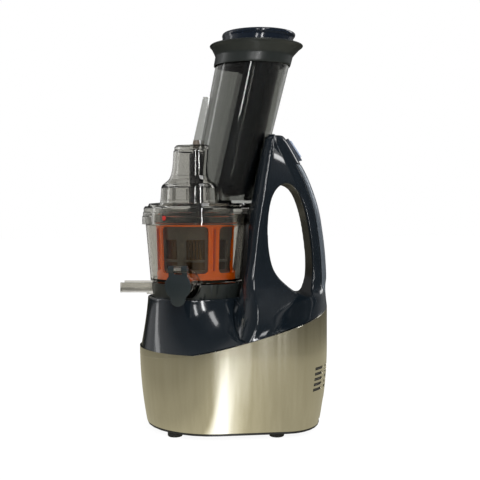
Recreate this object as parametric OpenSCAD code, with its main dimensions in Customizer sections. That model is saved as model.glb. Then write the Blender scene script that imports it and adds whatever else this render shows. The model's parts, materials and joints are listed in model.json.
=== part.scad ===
// Vertical slow juicer: base unit with its drive, bowl assembly, lid assembly and pusher.
// The counter is Z = 0 and the handle is at +Y. Every piece is drawn with the drive axis at X = Y = 0 and
// then moved along Y by placed(), so that the origin lies under the middle of the whole.
// An angle called a heading is counted from the front (-Y) towards +X.

/* [Base unit] */
// Reach of the base in front of the drive axis
base_front = 63; // [61:0.5:68]
// Reach of the base behind the drive axis
base_back = 146.4; // [143:0.2:156]
// Width of the base
base_w = 174; // [168:1:190]
// Length of the rounding at the front of the base
nose_round = 80; // [70:1:90]
// Length of the rounding at the back of the base
tail_round = 52; // [45:1:60]
// Height of the seam between skirt and housing, at the drive axis
seam_z = 92; // [90:0.2:95]
// Rise of the seam towards the back at the drive axis, in degrees
seam_tilt = 11.4; // [9:0.1:12]
// How much higher the seam is at the back than a straight line would be
seam_curl = 14; // [10:0.5:16]
// How far the skirt draws in towards its lower edge
skirt_draw = 9.5; // [6:0.5:11]
// Thickness of the steel skirt
skirt_wall = 1.2; // [0.8:0.1:2]
// Height of the rubber feet below the base plate
foot_h = 5; // [4:0.5:6]
// Diameter of the rubber feet
foot_d = 16; // [13:0.5:18]
// Thickness of the base plate
plate_t = 3.6; // [3.2:0.1:4.5]

/* [Cooling slots and cord inlet] */
// Number of cooling slots above each other
vent_rows = 5; // [3:1:6]
// Height of a cooling slot
vent_h = 3; // [2:0.5:3.5]
// Distance between cooling slots
vent_pitch = 5.6; // [5:0.1:6]
// Height of the lowest cooling slot
vent_z = 48; // [46:0.2:50]
// Width of the cord recess
inlet_w = 24; // [20:1:28]
// Top of the cord recess
inlet_top = 35; // [33:0.5:38]
// Sideways place of the cord recess
inlet_x = 36; // [32:1:40]

/* [Housing and handle] */
// Height of the pedestal that the bowl stands on
pedestal_z = 144.6; // [143:0.1:147]
// Radius of the pedestal's top
pedestal_r = 54; // [53:0.5:57]
// Wall of the housing
housing_wall = 3; // [2.5:0.25:3.5]
// Height of the top of the tower
tower_top = 324.6; // [320:0.2:329]
// Width of the tower's cheeks beside the feed tube
cheek_w = 88; // [86:1:94]
// Width of the handle's grip
grip_w = 41; // [38:1:46]
// How far the handle's trim wraps round the back of the grip
trim_wrap = 8.5; // [6:0.5:10]
// Thickness of the handle's trim
trim_wall = 2.4; // [1.8:0.1:2.6]
// Gap between the tower and what it cradles
cradle_gap = 2.2; // [1.6:0.1:2.8]

/* [Switch] */
// Length of the rocker
rocker_l = 22.4; // [20:0.2:24]
// Width of the rocker
rocker_w = 13; // [11:0.5:14]
// How far the rocker stands proud of its bezel
rocker_proud = 3; // [2.5:0.25:4]
// Tilt of the rocker to each side of off, in degrees
rocker_tilt = 8; // [6:1:9]

/* [Motor and gearbox] */
// Radius of the stator
stator_r = 42; // [38:0.5:44]
// Height of the stator's stack
stator_h = 40; // [34:1:42]
// Radius of the rotor
rotor_r = 24; // [20:0.5:26]
// Gap between rotor and stator
air_gap = 0.6; // [0.4:0.1:1]
// Radius of the gearbox
gearbox_r = 40; // [36:0.5:42]
// Height of the gearbox's body
gearbox_h = 40; // [34:1:42]
// Width across the flats of the drive shaft
hex_af = 12; // [10:0.25:12.5]
// Height of the top of the drive shaft
shaft_top = 197.6; // [194:0.2:201]

/* [Bowl] */
// Outer radius of the bowl at its floor
bowl_r_low = 51; // [50.5:0.25:52]
// Outer radius of the bowl under the lid
bowl_r_high = 56.5; // [56:0.25:57]
// Wall of the bowl
bowl_wall = 2.4; // [2:0.1:2.6]
// Height of the bowl's floor, upper side
floor_z = 162.6; // [162:0.1:163.5]
// Height of the bowl's rim
rim_z = 236.6; // [235:0.1:238]
// Heading of the juice spout
spout_heading = 71; // [66:1:76]
// Height of the juice spout's axis
spout_z = 161.3; // [160.5:0.1:162.5]
// Radius of the juice spout's bore
spout_bore = 8; // [7:0.25:8.5]
// Distance of the spout's mouth from the drive axis
spout_reach = 76; // [73:0.5:80]
// Heading of the pulp chute
chute_heading = -10; // [-14:1:-6]
// Distance of the chute's end from the drive axis
chute_reach = 83.5; // [80:0.5:92]
// Outer width of the pulp chute
chute_w = 30; // [27:0.5:32]

/* [Gear train] */
// Module of the teeth
gear_m = 1.25; // [1.25]
// Teeth of the auger's gear
sun_teeth = 24; // [24]
// Teeth of each idler gear
idler_teeth = 17; // [17]
// Pressure angle of the teeth, in degrees
gear_pa = 20; // [20:1:22]
// Play between meshing teeth
gear_play = 0.3; // [0.2:0.05:0.4]
// Height of the gears
gear_h = 6; // [5:0.25:6.5]

/* [Strainer and auger] */
// Inner radius of the strainer at its floor
strainer_r_low = 35; // [34:0.25:35.5]
// Inner radius of the strainer at its top
strainer_r_high = 38; // [37.5:0.25:38.25]
// Thickness of the strainer's frame
strainer_wall = 2.4; // [2:0.1:2.6]
// Thickness of the sieve
mesh_t = 0.6; // [0.4:0.1:0.8]
// Number of windows round the strainer
strainer_windows = 8; // [6:1:10]
// Gap between the auger's flight and the strainer
flight_gap = 0.8; // [0.5:0.1:1.2]
// Turns of the auger's flight
flight_turns = 3; // [2.5:0.25:3.5]
// Radius of the auger's body at the bottom
auger_r_low = 24; // [22:0.5:26]
// Radius of the auger's upper shaft
auger_shaft_r = 7.8; // [7:0.1:8.5]

/* [Wiper] */
// Outer radius of the wiper frame at the bottom
wiper_r_low = 43.4; // [43:0.1:44]
// Outer radius of the wiper frame at the top
wiper_r_high = 45.8; // [45.5:0.1:46.5]
// Thickness of the wiper frame's wall
wiper_wall = 2.4; // [2:0.1:2.6]
// Width of each upright bar
bar_w = 12; // [10:0.5:14]
// Thickness of the silicone blades
blade_t = 2; // [1.5:0.1:2.5]

/* [Lid and feed tube] */
// Outer radius of the lid's ring
lid_r = 60.5; // [60:0.25:61.5]
// Wall of the lid and feed tube
lid_wall = 2.4; // [2:0.1:2.6]
// Lower edge of the lid's ring
lid_low = 224.6; // [223.5:0.1:226]
// Upper side of the lid's ring
lid_high = 244.6; // [243:0.1:246]
// Radius of the step above the ring
tier_r = 40.2; // [40:0.1:41.5]
// Height of that step's top
tier_z = 269.6; // [268:0.1:272]
// Radius of the dome's neck
neck_r = 25.6; // [24:0.2:27]
// Height of the dome's cap
dome_z = 312.6; // [310:0.2:315]
// Lean of the feed tube towards the handle, in degrees
tube_lean = 12.5; // [11.5:0.1:13]
// Distance of the tube's axis behind the drive axis, at the height of the dome's cap
tube_y = 43.3; // [42:0.1:44.5]
// Outer radius of the feed tube at that height
tube_r = 38; // [37.6:0.1:38.6]
// Outer radius of the feed tube at its mouth
mouth_r = 41; // [40.5:0.1:41.2]
// Height of the tube's mouth
mouth_z = 409.6; // [404:0.4:413]

/* [Collar and pusher] */
// Radius of the collar's lip
lip_r = 53; // [50:0.5:56]
// Height of the collar's lip
lip_z = 425.6; // [423:0.2:428]
// Radius of the pusher's plunger
plunger_r = 31; // [29:0.25:31.5]
// Distance from the tube's axis to the plunger's flat front
plunger_flat = 11.5; // [9:0.5:14]
// Radius of the pusher's knob
knob_r = 41.5; // [40:0.5:44]
// Height of the top of the pusher
pusher_top = 440.6; // [439:0.2:445]

/* [Hidden] */
$fn = 96;
// Clearance between bodies that pass or face each other
gap = 0.4;
// Space between a piece and its seat
seat = 0.3;
// Radial clearance of a shaft in its bearing
running = 0.05;
big = 400;

// Shape helpers

function lerp(a, b, t) = a + (b - a) * t;
function sgn_pow(v, e) = v < 0 ? -pow(-v, e) : pow(v, e);

// Closed plan outline, counter-clockwise: a rounded tail at +Y, the left side, a rounded nose at -Y, the right side
plan_steps = 16;
side_steps = 4;
function side_points(from, to) = [for (i = [1:side_steps]) lerp(from, to, i / (side_steps + 1))];
function plan(front, back, nose_half, tail_half, nose, tail, n = 2) = concat(
    [for (i = [0:plan_steps]) let (a = 180 * i / plan_steps)
        [tail_half * sgn_pow(cos(a), 2 / n), back - tail + tail * sgn_pow(sin(a), 2 / n)]],
    side_points([-tail_half, back - tail], [-nose_half, front + nose]),
    [for (i = [0:plan_steps]) let (a = 180 + 180 * i / plan_steps)
        [nose_half * sgn_pow(cos(a), 2 / n), front + nose + nose * sgn_pow(sin(a), 2 / n)]],
    side_points([nose_half, front + nose], [tail_half, back - tail]));

// Lifts a plan outline to height z, plus a share of the seam's own rise
function ring_at(outline, z, share = 0) = [for (p = outline) [p[0], p[1], z + share * seam_at(p[1])]];

// Circle of radius r round (0, y), as a ring of points
function circle_at(r, y, z, steps = 48) = [for (i = [0:steps - 1])
    [r * cos(360 * i / steps), y + r * sin(360 * i / steps), z]];

// Faces that close a plan outline of n points by strips from side to side, so that a cap may curve along Y
function strips(n) = let (m = plan_steps / 2)
    [for (i = [m:m + n / 2 - 1]) let (j = (i + 1) % n, a = (2 * m - i + n) % n, b = (2 * m - i - 1 + n) % n)
        i == m ? [i, j, b] : b == j ? [i, j, a] : [i, j, b, a]];

// Solid through a stack of rings that all have the same number of points
module loft(rings, curved = false) {
    n = len(rings[0]);
    last = len(rings) - 1;
    caps = curved ? strips(n) : [[for (i = [0:n - 1]) i]];
    polyhedron(
        points = [for (r = rings) for (p = r) p],
        faces = concat(
            caps,
            [for (f = caps) [for (i = [len(f) - 1:-1:0]) last * n + f[i]]],
            [for (j = [0:last - 1]) for (i = [0:n - 1])
                [j * n + i, (j + 1) * n + i, (j + 1) * n + (i + 1) % n, j * n + (i + 1) % n]]));
}

// Ring-shaped solid through a closed chain of rings: up the outside, then down the inside
module closed_loft(rings) {
    n = len(rings[0]);
    m = len(rings);
    polyhedron(
        points = [for (r = rings) for (p = r) p],
        faces = [for (j = [0:m - 1]) for (i = [0:n - 1])
            [j * n + i, (j + 1) % m * n + i, (j + 1) % m * n + (i + 1) % n, j * n + (i + 1) % n]]);
}

// Closed smooth curve through the given points
function smooth_loop(p, steps) = [for (i = [0:len(p) - 1]) for (k = [0:steps - 1])
    let (n = len(p), a = p[(i + n - 1) % n], b = p[i], c = p[(i + 1) % n], d = p[(i + 2) % n], t = k / steps)
    0.5 * (2 * b + (c - a) * t + (2 * a - 5 * b + 4 * c - d) * t * t + (3 * b - a - 3 * c + d) * t * t * t)];

module at_heading(h) { rotate([0, 0, h]) children(); }

module tube_shape(r, hole, h) {
    difference() {
        cylinder(r = r, h = h);
        translate([0, 0, -1]) cylinder(r = hole, h = h + 2);
    }
}

// Upright cylinder along -Y, from distance a to distance b
module rod_front(r, a, b) { translate([0, -a, 0]) rotate([90, 0, 0]) cylinder(r = r, h = b - a); }

// Cylinder along X, centred
module rod_x(r, l) { rotate([0, 90, 0]) cylinder(r = r, h = l, center = true); }

// Base outline

seam_rise = tan(seam_tilt);
// Height of the seam above its height at the drive axis
function seam_at(y) = seam_rise * y + seam_curl * pow(y / base_back, 2);
function skirt_inset(z) = skirt_draw * pow(max(0, (seam_z - z) / seam_z), 2);
function base_plan(inset) = plan(-base_front + inset, base_back - inset, base_w / 2 - inset,
    base_w / 2 - inset, nose_round - inset, tail_round - inset / 2);
skirt_low = foot_h + 2.6;
skirt_levels = [for (t = [0.05, 0.13, 0.25, 0.4, 0.6, 0.8]) lerp(skirt_low, seam_z - 14, t)];

// Solid form of the skirt, drawn in by off, from its lower edge up past the seam
module skirt_form(off, drop = 0, lift = 0) {
    loft(concat(
        [ring_at(base_plan(skirt_inset(skirt_low) + off), skirt_low - drop)],
        [for (z = skirt_levels) ring_at(base_plan(skirt_inset(z) + off), z)],
        [ring_at(base_plan(off), seam_z + lift, 1)]), true);
}

seam_gap = 0.3;
module steel_skirt() color([0.62, 0.6, 0.5]) placed() difference() {
    skirt_form(0, 0, -seam_gap);
    skirt_form(skirt_wall, 1, 1);
    vent_cuts();
    inlet_cut(inlet_w, inlet_top);
}

vent_rib = 4.5;
vent_l = 17.6;
vent_columns = 7;
module vent_cuts() {
    for (row = [0:vent_rows - 1]) for (col = [0:vent_columns - 1])
        translate([(col - (vent_columns - 1) / 2) * (vent_l + vent_rib) - vent_l / 2,
            base_back - tail_round + 8, vent_z + row * vent_pitch])
            cube([vent_l, tail_round, vent_h]);
}

// Arched recess at the back, w wide, with its crown at height top
module inlet_cut(w, top) {
    translate([inlet_x - w / 2, base_back - tail_round, -1]) cube([w, tail_round + 10, top - w / 2 + 1]);
    translate([inlet_x, base_back - tail_round, top - w / 2]) rotate([-90, 0, 0])
        cylinder(d = w, h = tail_round + 10);
}

// Housing

// Pedestal: from the seam's outline at the bottom to a circle at the top
pedestal_steps = 7;
module pedestal_form(off, drop = 0) {
    top = pedestal_z - off;
    rings = [for (i = [0:pedestal_steps]) let (q = i / pedestal_steps, w = pow(1 - q, 1.8), r = pedestal_r - off)
        [for (p = plan(-lerp(r, base_front - off, pow(1 - q, 1.4)), lerp(r, 70 - off, w),
            lerp(r, base_w / 2 - off, w), lerp(r, base_w / 2 - off, w),
            lerp(r - 0.3, nose_round - off, w), lerp(r - 0.3, 30 - off, w)))
            [p[0], p[1], lerp(seam_z + seam_at(p[1]), top, q)]]];
    loft(concat(drop > 0 ? [[for (p = rings[0]) [p[0], p[1], p[2] - drop]]] : [], rings), true);
}

// Tower rows: share of the height, front reach, inset of the back, spread of the cheeks, spread of the back.
// A spread is 0 at the column's own width and 1 at the base's width.
tower_rows = [
    [0, 11, 0, 1, 1],
    [0.039, 18, -0.3, 0.95, 0.71],
    [0.09, 24, -0.8, 0.84, 0.37],
    [0.148, 30, -1.4, 0.66, 0.16],
    [0.207, 35, -1.9, 0.44, 0.07],
    [0.257, 39.5, -2.2, 0.24, 0.03],
    [0.304, 42.5, -2.1, 0.12, 0.01],
    [0.358, 45.5, -1.6, 0.05, 0],
    [0.423, 48, -0.6, 0.02, 0],
    [0.532, 51.5, 2.4, 0, 0],
    [0.641, 55.5, 6.9, 0, 0],
    [0.738, 59.5, 14.1, -0.01, 0],
    [0.816, 62.5, 21.8, -0.04, 0],
    [0.882, 65.5, 30.4, -0.08, 0],
    [0.939, 68, 37.9, -0.15, -0.01],
    [0.98, 70.5, 44.4, -0.24, -0.03],
    [1, 73.5, 48.4, -0.34, -0.08]];

// Moves a piece from the drive axis to its place over the origin
front_most = chute_reach * cos(chute_heading) + chute_w / 2 * abs(sin(chute_heading));
back_most = base_back - min([for (row = tower_rows) row[2]]);
row_shift = (back_most - front_most) / 2;
module placed() { translate([0, -row_shift, 0]) children(); }

module tower_form() { tower_core(0); }

// Hollow of the housing above the seam: the tower's own form inside its wall, closed at the top by a deck
cavity_top = pedestal_z - 9;
module tower_cavity() {
    difference() {
        tower_core(housing_wall, 2);
        translate([-big / 2, -big / 2, cavity_top]) cube([big, big, big]);
        // The back stays solid behind the trim's channel
        trim_zone(trim_wrap + housing_wall);
    }
}

// Handle opening: distance in front of the base's back, share of the height from pedestal to tower top
handle_loop = [[53, 0.69], [36, 0.655], [24, 0.48], [17.5, 0.21], [20, 0.045], [25.5, 0.0],
    [47, 0.06], [65.4, 0.18], [71.4, 0.395], [67, 0.6]];
function handle_points() = [for (p = smooth_loop(handle_loop, 5))
    [base_back - p[0], lerp(pedestal_z, tower_top, p[1])]];

// Extrudes a side outline, given as [y, z], over width w along X
module across(points, w) {
    translate([w / 2, 0, 0]) rotate([0, -90, 0]) linear_extrude(height = w)
        polygon([for (p = points) [p[1], p[0]]]);
}

// Tube cone grown by extra on its radius, from height a to height b along the leaning axis
tube_slope = (mouth_r - tube_r) * cos(tube_lean) / (mouth_z - dome_z);
function tube_axis_y(z) = tube_y + (z - dome_z) * tan(tube_lean);
function tube_r_at(l) = tube_r + tube_slope * l;
module tube_cone(extra, a, b) {
    la = (a - dome_z) / cos(tube_lean);
    lb = (b - dome_z) / cos(tube_lean);
    translate([0, tube_y, dome_z]) rotate([-tube_lean, 0, 0]) translate([0, 0, la])
        cylinder(r1 = tube_r_at(la) + extra, r2 = tube_r_at(lb) + extra, h = lb - la);
}

// Plane of the switch, on the slope behind the tower's top
switch_y = base_back - 35.7;
switch_z = tower_top - 16.2;
switch_slope = 33;
module at_switch() { translate([0, switch_y, switch_z]) rotate([switch_slope - 90, 0, 0]) children(); }
bezel_wall = 1.6;
bezel_depth = 13;
rocker_play = 0.9;
module bezel_block(extra) {
    l = rocker_l + 2 * rocker_play + 2 * bezel_wall + extra;
    w = rocker_w + 2 * gap + 2 * bezel_wall + extra;
    translate([-w / 2, -l / 2, -bezel_depth - extra / 2]) cube([w, l, bezel_depth + extra / 2 + 20]);
}

shaft_hole_r = 9;
crease_gap = 0.3;
module pedestal() color([0.12, 0.14, 0.18]) placed() difference() {
    pedestal_form(0);
    pedestal_form(housing_wall, 1);
    translate([0, 0, pedestal_z - 20]) cylinder(r = shaft_hole_r, h = 40);
}

module housing_form() difference() {
    tower_form();
    pedestal_form(-crease_gap, 1);
    tower_cavity();
    translate([0, 0, pedestal_z]) cylinder(r = lid_r + cradle_gap, h = big);
    tube_cone(cradle_gap, lid_low, mouth_z);
    across(handle_points(), 2 * base_w);
    difference() {
        trim_zone(trim_wrap);
        tower_core(trim_wall);
    }
    at_switch() bezel_block(0);
}
// The housing is moulded in two halves that meet on the middle plane, round the switch and the trim
half_seam = 0.03;
module housing_half(low) {
    intersection() {
        housing_form();
        translate([low, -big / 2, 0]) cube([big, big, big]);
    }
}
module housing_left() color([0.12, 0.14, 0.18]) placed() housing_half(-big - half_seam);
module housing_right() color([0.12, 0.14, 0.18]) placed() housing_half(half_seam);

// Trim: a channel that wraps the back of the grip, from the seam to below the switch
function back_reach(z) = base_back - lookup(z, [for (row = tower_rows)
    [lerp(seam_z, tower_top, row[0]) + max(0, row[3]) * seam_at(base_back - row[2]), row[2]]]);
trim_low = seam_z + seam_at(base_back) + 4;
trim_high = seam_z + 0.86 * (tower_top - seam_z);
trim_steps = 12;
trim_w = grip_w - 3;

// Everything behind the plane that lies depth in front of the tower's back
module trim_zone(depth) {
    points = [for (i = [0:trim_steps]) let (z = lerp(trim_low, trim_high, i / trim_steps))
        [back_reach(z) - depth, z]];
    across(concat([[big, trim_low]], points, [[big, trim_high]]), trim_w);
}

// The tower's form drawn in by off all round, its foot lowered by drop
module tower_core(off, drop = 0) {
    rings = [for (row = tower_rows) let (spread = max(0, row[3]), depth = base_back - row[2] - row[1] - 2 * off)
        ring_at(plan(row[1] + off, base_back - row[2] - off, lerp(cheek_w / 2, base_w / 2, row[3]) - off,
            lerp(grip_w / 2, base_w / 2, row[4]) - off, lerp(min(13, 0.48 * depth), 38, spread),
            lerp(min(19, 0.48 * depth), tail_round, spread), lerp(2.6, 2, spread)),
            lerp(seam_z, tower_top, row[0]), spread)];
    loft(concat(drop > 0 ? [[for (p = rings[0]) [p[0], p[1], p[2] - drop]]] : [], rings), true);
}
module handle_trim() color([0.6, 0.62, 0.64]) placed() difference() {
    intersection() {
        tower_form();
        trim_zone(trim_wrap - gap);
        translate([-big / 2, 0, trim_low + gap]) cube([big, big, trim_high - trim_low - 2 * gap]);
    }
    tower_core(trim_wall - gap);
}

// Base plate, feet and screws

plate_z = foot_h + plate_t;
feet = [[50, -27], [-50, -27], [65, 80], [-65, 80]];
motor_post = 34;
posts = [for (x = [-1, 1]) for (y = [-1, 1]) [x * motor_post, y * motor_post]];
stem_r = 3;
screw_r = 2;
lower_bracket_z = plate_z + 8;

module base_plate() color([0.08, 0.08, 0.08]) placed() difference() {
    union() {
        translate([0, 0, foot_h]) linear_extrude(height = skirt_low - seat - foot_h)
            polygon(base_plan(skirt_inset(skirt_low) + 0.8));
        translate([0, 0, foot_h]) linear_extrude(height = plate_t)
            polygon(base_plan(skirt_inset(skirt_low) + skirt_wall + 0.2));
        for (p = posts) translate([p[0], p[1], foot_h]) cylinder(r = 6, h = lower_bracket_z - foot_h);
        for (p = board_posts) translate([p[0], p[1], foot_h]) cylinder(r = 3.5, h = board_z - foot_h);
    }
    for (p = feet) translate([p[0], p[1], 0]) cylinder(r = stem_r + running, h = 20);
    for (p = posts) translate([p[0], p[1], 0]) {
        cylinder(r = screw_r + 0.2, h = 40);
        cylinder(r = screw_r + 2.4, h = foot_h + 2);
    }
}

module rubber_feet() color([0.05, 0.05, 0.05]) placed() for (p = feet) translate([p[0], p[1], 0]) {
    cylinder(d1 = foot_d - 1.5, d2 = foot_d, h = 1);
    translate([0, 0, 1]) cylinder(d = foot_d, h = foot_h - 1);
    cylinder(r = stem_r, h = plate_z + 1);
}

module base_screws() color([0.7, 0.7, 0.72]) placed() for (p = posts) translate([p[0], p[1], foot_h + 0.2]) {
    cylinder(r = screw_r + 2, h = 1.8);
    cylinder(r = screw_r, h = lower_bracket_z - foot_h + 5);
}

// Switch

pivot_depth = 4;
pivot_r = 1.5;
module switch_bezel() color([0.1, 0.1, 0.11]) placed() at_switch() difference() {
    l = rocker_l + 2 * rocker_play;
    w = rocker_w + 2 * gap;
    union() {
        intersection() {
            bezel_block(-0.1);
            translate([-30, -30, -30]) cube([60, 60, 30]);
        }
        translate([-w / 2 - bezel_wall - 1, -l / 2 - bezel_wall - 1, 0])
            cube([w + 2 * bezel_wall + 2, l + 2 * bezel_wall + 2, 1]);
    }
    translate([-w / 2, -l / 2, -bezel_depth + 2]) cube([w, l, bezel_depth + 10]);
    translate([0, 0, -pivot_depth]) rod_x(pivot_r + running, w + 2);
}

module rocker_switch() color([0.75, 0.82, 0.9]) placed() at_switch() {
    intersection() {
        translate([-rocker_w / 2, -rocker_l / 2, -pivot_depth - 2.5])
            cube([rocker_w, rocker_l, pivot_depth + 2.5 + rocker_proud + 1]);
        union() {
            for (s = [-1, 1]) rotate([s * (rocker_tilt + 1), 0, 0]) translate([-rocker_w / 2, -rocker_l / 2 - 3, -pivot_depth - 6])
                cube([rocker_w, rocker_l + 6, pivot_depth + 6 + rocker_proud - 1.4]);
        }
    }
    translate([0, 0, -pivot_depth]) rod_x(pivot_r, rocker_w + 2 * gap + 1.8);
}

// Cord inlet: a bush that fills the recess, with a blind socket

module cord_inlet() color([0.06, 0.06, 0.06]) placed() difference() {
    intersection() {
        inlet_cut(inlet_w - 2 * gap, inlet_top - gap);
        translate([-big / 2, inlet_end - inlet_depth, plate_z]) cube([big, inlet_depth, big]);
    }
    translate([inlet_x, inlet_end - 7, plate_z + 12]) rotate([-90, 0, 0]) cylinder(r = 5, h = 30);
}
inlet_depth = 11;
inlet_end = base_back - 19;

// Motor and gearbox, coaxial under the pedestal

stator_z = lower_bracket_z + 8;
upper_bracket_z = stator_z + stator_h;
gearbox_z = upper_bracket_z + 8;
shaft_r = 5;
journal_r = 6;
bolt_circle = stator_r - 4;

module motor_stator() color([0.45, 0.36, 0.28]) placed() difference() {
    translate([0, 0, stator_z]) cylinder(r = stator_r, h = stator_h);
    translate([0, 0, stator_z - 1]) cylinder(r = rotor_r + air_gap, h = stator_h + 2);
    for (a = [0:30:330]) rotate([0, 0, a]) translate([rotor_r + 2, -1.2, stator_z - 1])
        cube([6, 2.4, stator_h + 2]);
    for (a = [45:90:315]) rotate([0, 0, a]) translate([bolt_circle, 0, stator_z - 1])
        cylinder(r = screw_r + 0.5, h = stator_h + 2);
}

// End bracket: a bridge of four arms round a bearing seat
module bracket(z) {
    difference() {
        union() {
            translate([0, 0, z]) cylinder(r = 14, h = 8);
            for (a = [45, 135]) rotate([0, 0, a]) translate([-bolt_circle - 4, -6, z])
                cube([2 * bolt_circle + 8, 12, 8]);
            for (p = posts) translate([p[0], p[1], z]) cylinder(r = 7, h = 8);
        }
        translate([0, 0, z - 1]) cylinder(r = shaft_r + running, h = 10);
        for (a = [45:90:315]) rotate([0, 0, a]) translate([bolt_circle, 0, z - 1])
            cylinder(r = screw_r + 0.2, h = 10);
    }
}
module motor_lower_bracket() color([0.7, 0.7, 0.7]) placed() difference() {
    bracket(lower_bracket_z);
    for (p = posts) translate([p[0], p[1], lower_bracket_z - 1]) cylinder(r = screw_r + 0.1, h = 7);
}
module motor_upper_bracket() color([0.7, 0.7, 0.7]) placed() bracket(upper_bracket_z);
module motor_bolts() color([0.75, 0.75, 0.75]) placed() for (a = [45:90:315]) rotate([0, 0, a])
    translate([bolt_circle, 0, lower_bracket_z - 3]) {
        cylinder(r = screw_r, h = gearbox_z - lower_bracket_z + 6);
        cylinder(r = screw_r + 1.6, h = 2.9, $fn = 6);
    }

rotor_end = gearbox_z + 14;
module motor_rotor() color([0.5, 0.5, 0.52]) placed() {
    translate([0, 0, stator_z + 1]) cylinder(r = rotor_r, h = stator_h - 2);
    translate([0, 0, plate_z + 1]) cylinder(r = shaft_r, h = rotor_end - plate_z - 1);
}

fan_r = 26;
fan_blades = 9;
module cooling_fan() color([0.15, 0.15, 0.15]) placed() translate([0, 0, plate_z + 1.5]) difference() {
    union() {
        cylinder(r = 9, h = 5.5);
        cylinder(r = fan_r, h = 1.2);
        for (i = [0:fan_blades - 1]) rotate([0, 0, 360 * i / fan_blades]) translate([8, -0.7, 0])
            cube([fan_r - 9, 1.4, 5.5]);
    }
    translate([0, 0, -1]) cylinder(r = shaft_r + 0.02, h = 10);
}

gearbox_neck_r = 19;
bearing_r = 14;
bearing_h = 12;
neck_top = pedestal_z - housing_wall;
module gearbox_case() color([0.55, 0.56, 0.58]) placed() difference() {
    union() {
        translate([0, 0, gearbox_z]) cylinder(r = bolt_circle + 7, h = 4);
        translate([0, 0, gearbox_z]) cylinder(r = gearbox_r, h = gearbox_h);
        translate([0, 0, gearbox_z + gearbox_h]) cylinder(r1 = gearbox_r, r2 = gearbox_neck_r + 3, h = 7);
        translate([0, 0, gearbox_z]) cylinder(r = gearbox_neck_r, h = neck_top - gearbox_z);
        for (i = [0:7]) rotate([0, 0, 45 * i]) translate([gearbox_neck_r - 1, -1.2, gearbox_z + gearbox_h - 1])
            cube([10, 2.4, 12]);
    }
    translate([0, 0, gearbox_z - 1]) cylinder(r = shaft_r + 1, h = rotor_end - gearbox_z + 3);
    translate([0, 0, rotor_end + 8]) cylinder(r = journal_r + running, h = 100);
    translate([0, 0, neck_top - bearing_h]) cylinder(r = bearing_r + 0.02, h = bearing_h + 1);
    for (a = [45:90:315]) rotate([0, 0, a]) translate([bolt_circle, 0, gearbox_z - 1])
        cylinder(r = screw_r + 0.2, h = 6);
}

module shaft_bearing() color([0.8, 0.8, 0.82]) placed() translate([0, 0, neck_top - bearing_h])
    tube_shape(bearing_r, journal_r + running, bearing_h);

hex_r = hex_af / 2 / cos(30);
module drive_shaft() color([0.78, 0.78, 0.8]) placed() {
    translate([0, 0, rotor_end + 9]) cylinder(r = journal_r, h = pedestal_z - rotor_end - 10);
    translate([0, 0, pedestal_z - 1]) cylinder(r = hex_r, h = shaft_top - pedestal_z, $fn = 6);
    translate([0, 0, shaft_top - 1]) cylinder(r1 = hex_r, r2 = hex_r - 1.5, h = 1.5, $fn = 6);
}

// Control board, on posts of the base plate

board_z = plate_z + 5;
board_y = base_back - 54.4;
board_posts = [for (x = [-24, 24]) for (y = [board_y - 14, board_y + 14]) [x, y]];
module control_board() color([0.1, 0.35, 0.2]) placed() difference() {
    union() {
        translate([-30, board_y - 19, board_z]) cube([60, 38, 1.6]);
        translate([-26, board_y - 12, board_z]) cube([16, 10, 9]);
        for (i = [0:2]) translate([-27 + 9 * i, board_y + 6, board_z]) cube([8, 9, 11]);
    }
    for (i = [0:2]) translate([-23 + 9 * i, board_y + 10, board_z + 6]) cylinder(r = 1.6, h = 20);
}
module run_capacitor() color([0.85, 0.85, 0.8]) placed() translate([12, board_y - 18, board_z + 1.6 + 11])
    rotate([-90, 0, 0]) {
        cylinder(r = 11, h = 34);
        for (x = [-4, 4]) translate([x - 0.4, -3, -6]) cube([0.8, 6, 7]);
    }

// Bowl

floor_low = floor_z - bowl_wall;
hub_r = 10;
hub_bore = 8;
hub_top = floor_z + 14;
sleeve_z = lid_low - 1;

// Turned wall of the bowl: outline of radius and height, off drawn in
module bowl_turned() {
    rotate_extrude() polygon([
        [hub_bore, floor_low], [bowl_r_low - 1.5, floor_low], [bowl_r_low, floor_low + 1.5],
        [bowl_r_high, sleeve_z], [bowl_r_high + 0.6, sleeve_z + 2], [bowl_r_high + 0.6, rim_z - 1],
        [bowl_r_high, rim_z], [bowl_r_high + 0.6 - bowl_wall, rim_z],
        [bowl_r_high - bowl_wall, sleeve_z], [bowl_r_low - bowl_wall + 0.3, floor_z + 2.5],
        [bowl_r_low - bowl_wall - 2, floor_z], [hub_r, floor_z], [hub_r, hub_top], [hub_bore, hub_top]]);
}

spout_r = spout_bore + 3;
hinge_z = spout_z + 17.5;
hinge_y = spout_reach + 2.6;
knuckle_r = 4;
knuckle_w = 8.4;
cap_pin_r = 1.5;

module spout_cuts() at_heading(spout_heading) {
    translate([0, 0, spout_z]) rod_front(spout_bore, bowl_r_low - bowl_wall - 4.5, spout_reach + 20);
    translate([0, -hinge_y, hinge_z]) rod_x(cap_pin_r + running, 40);
}

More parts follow.
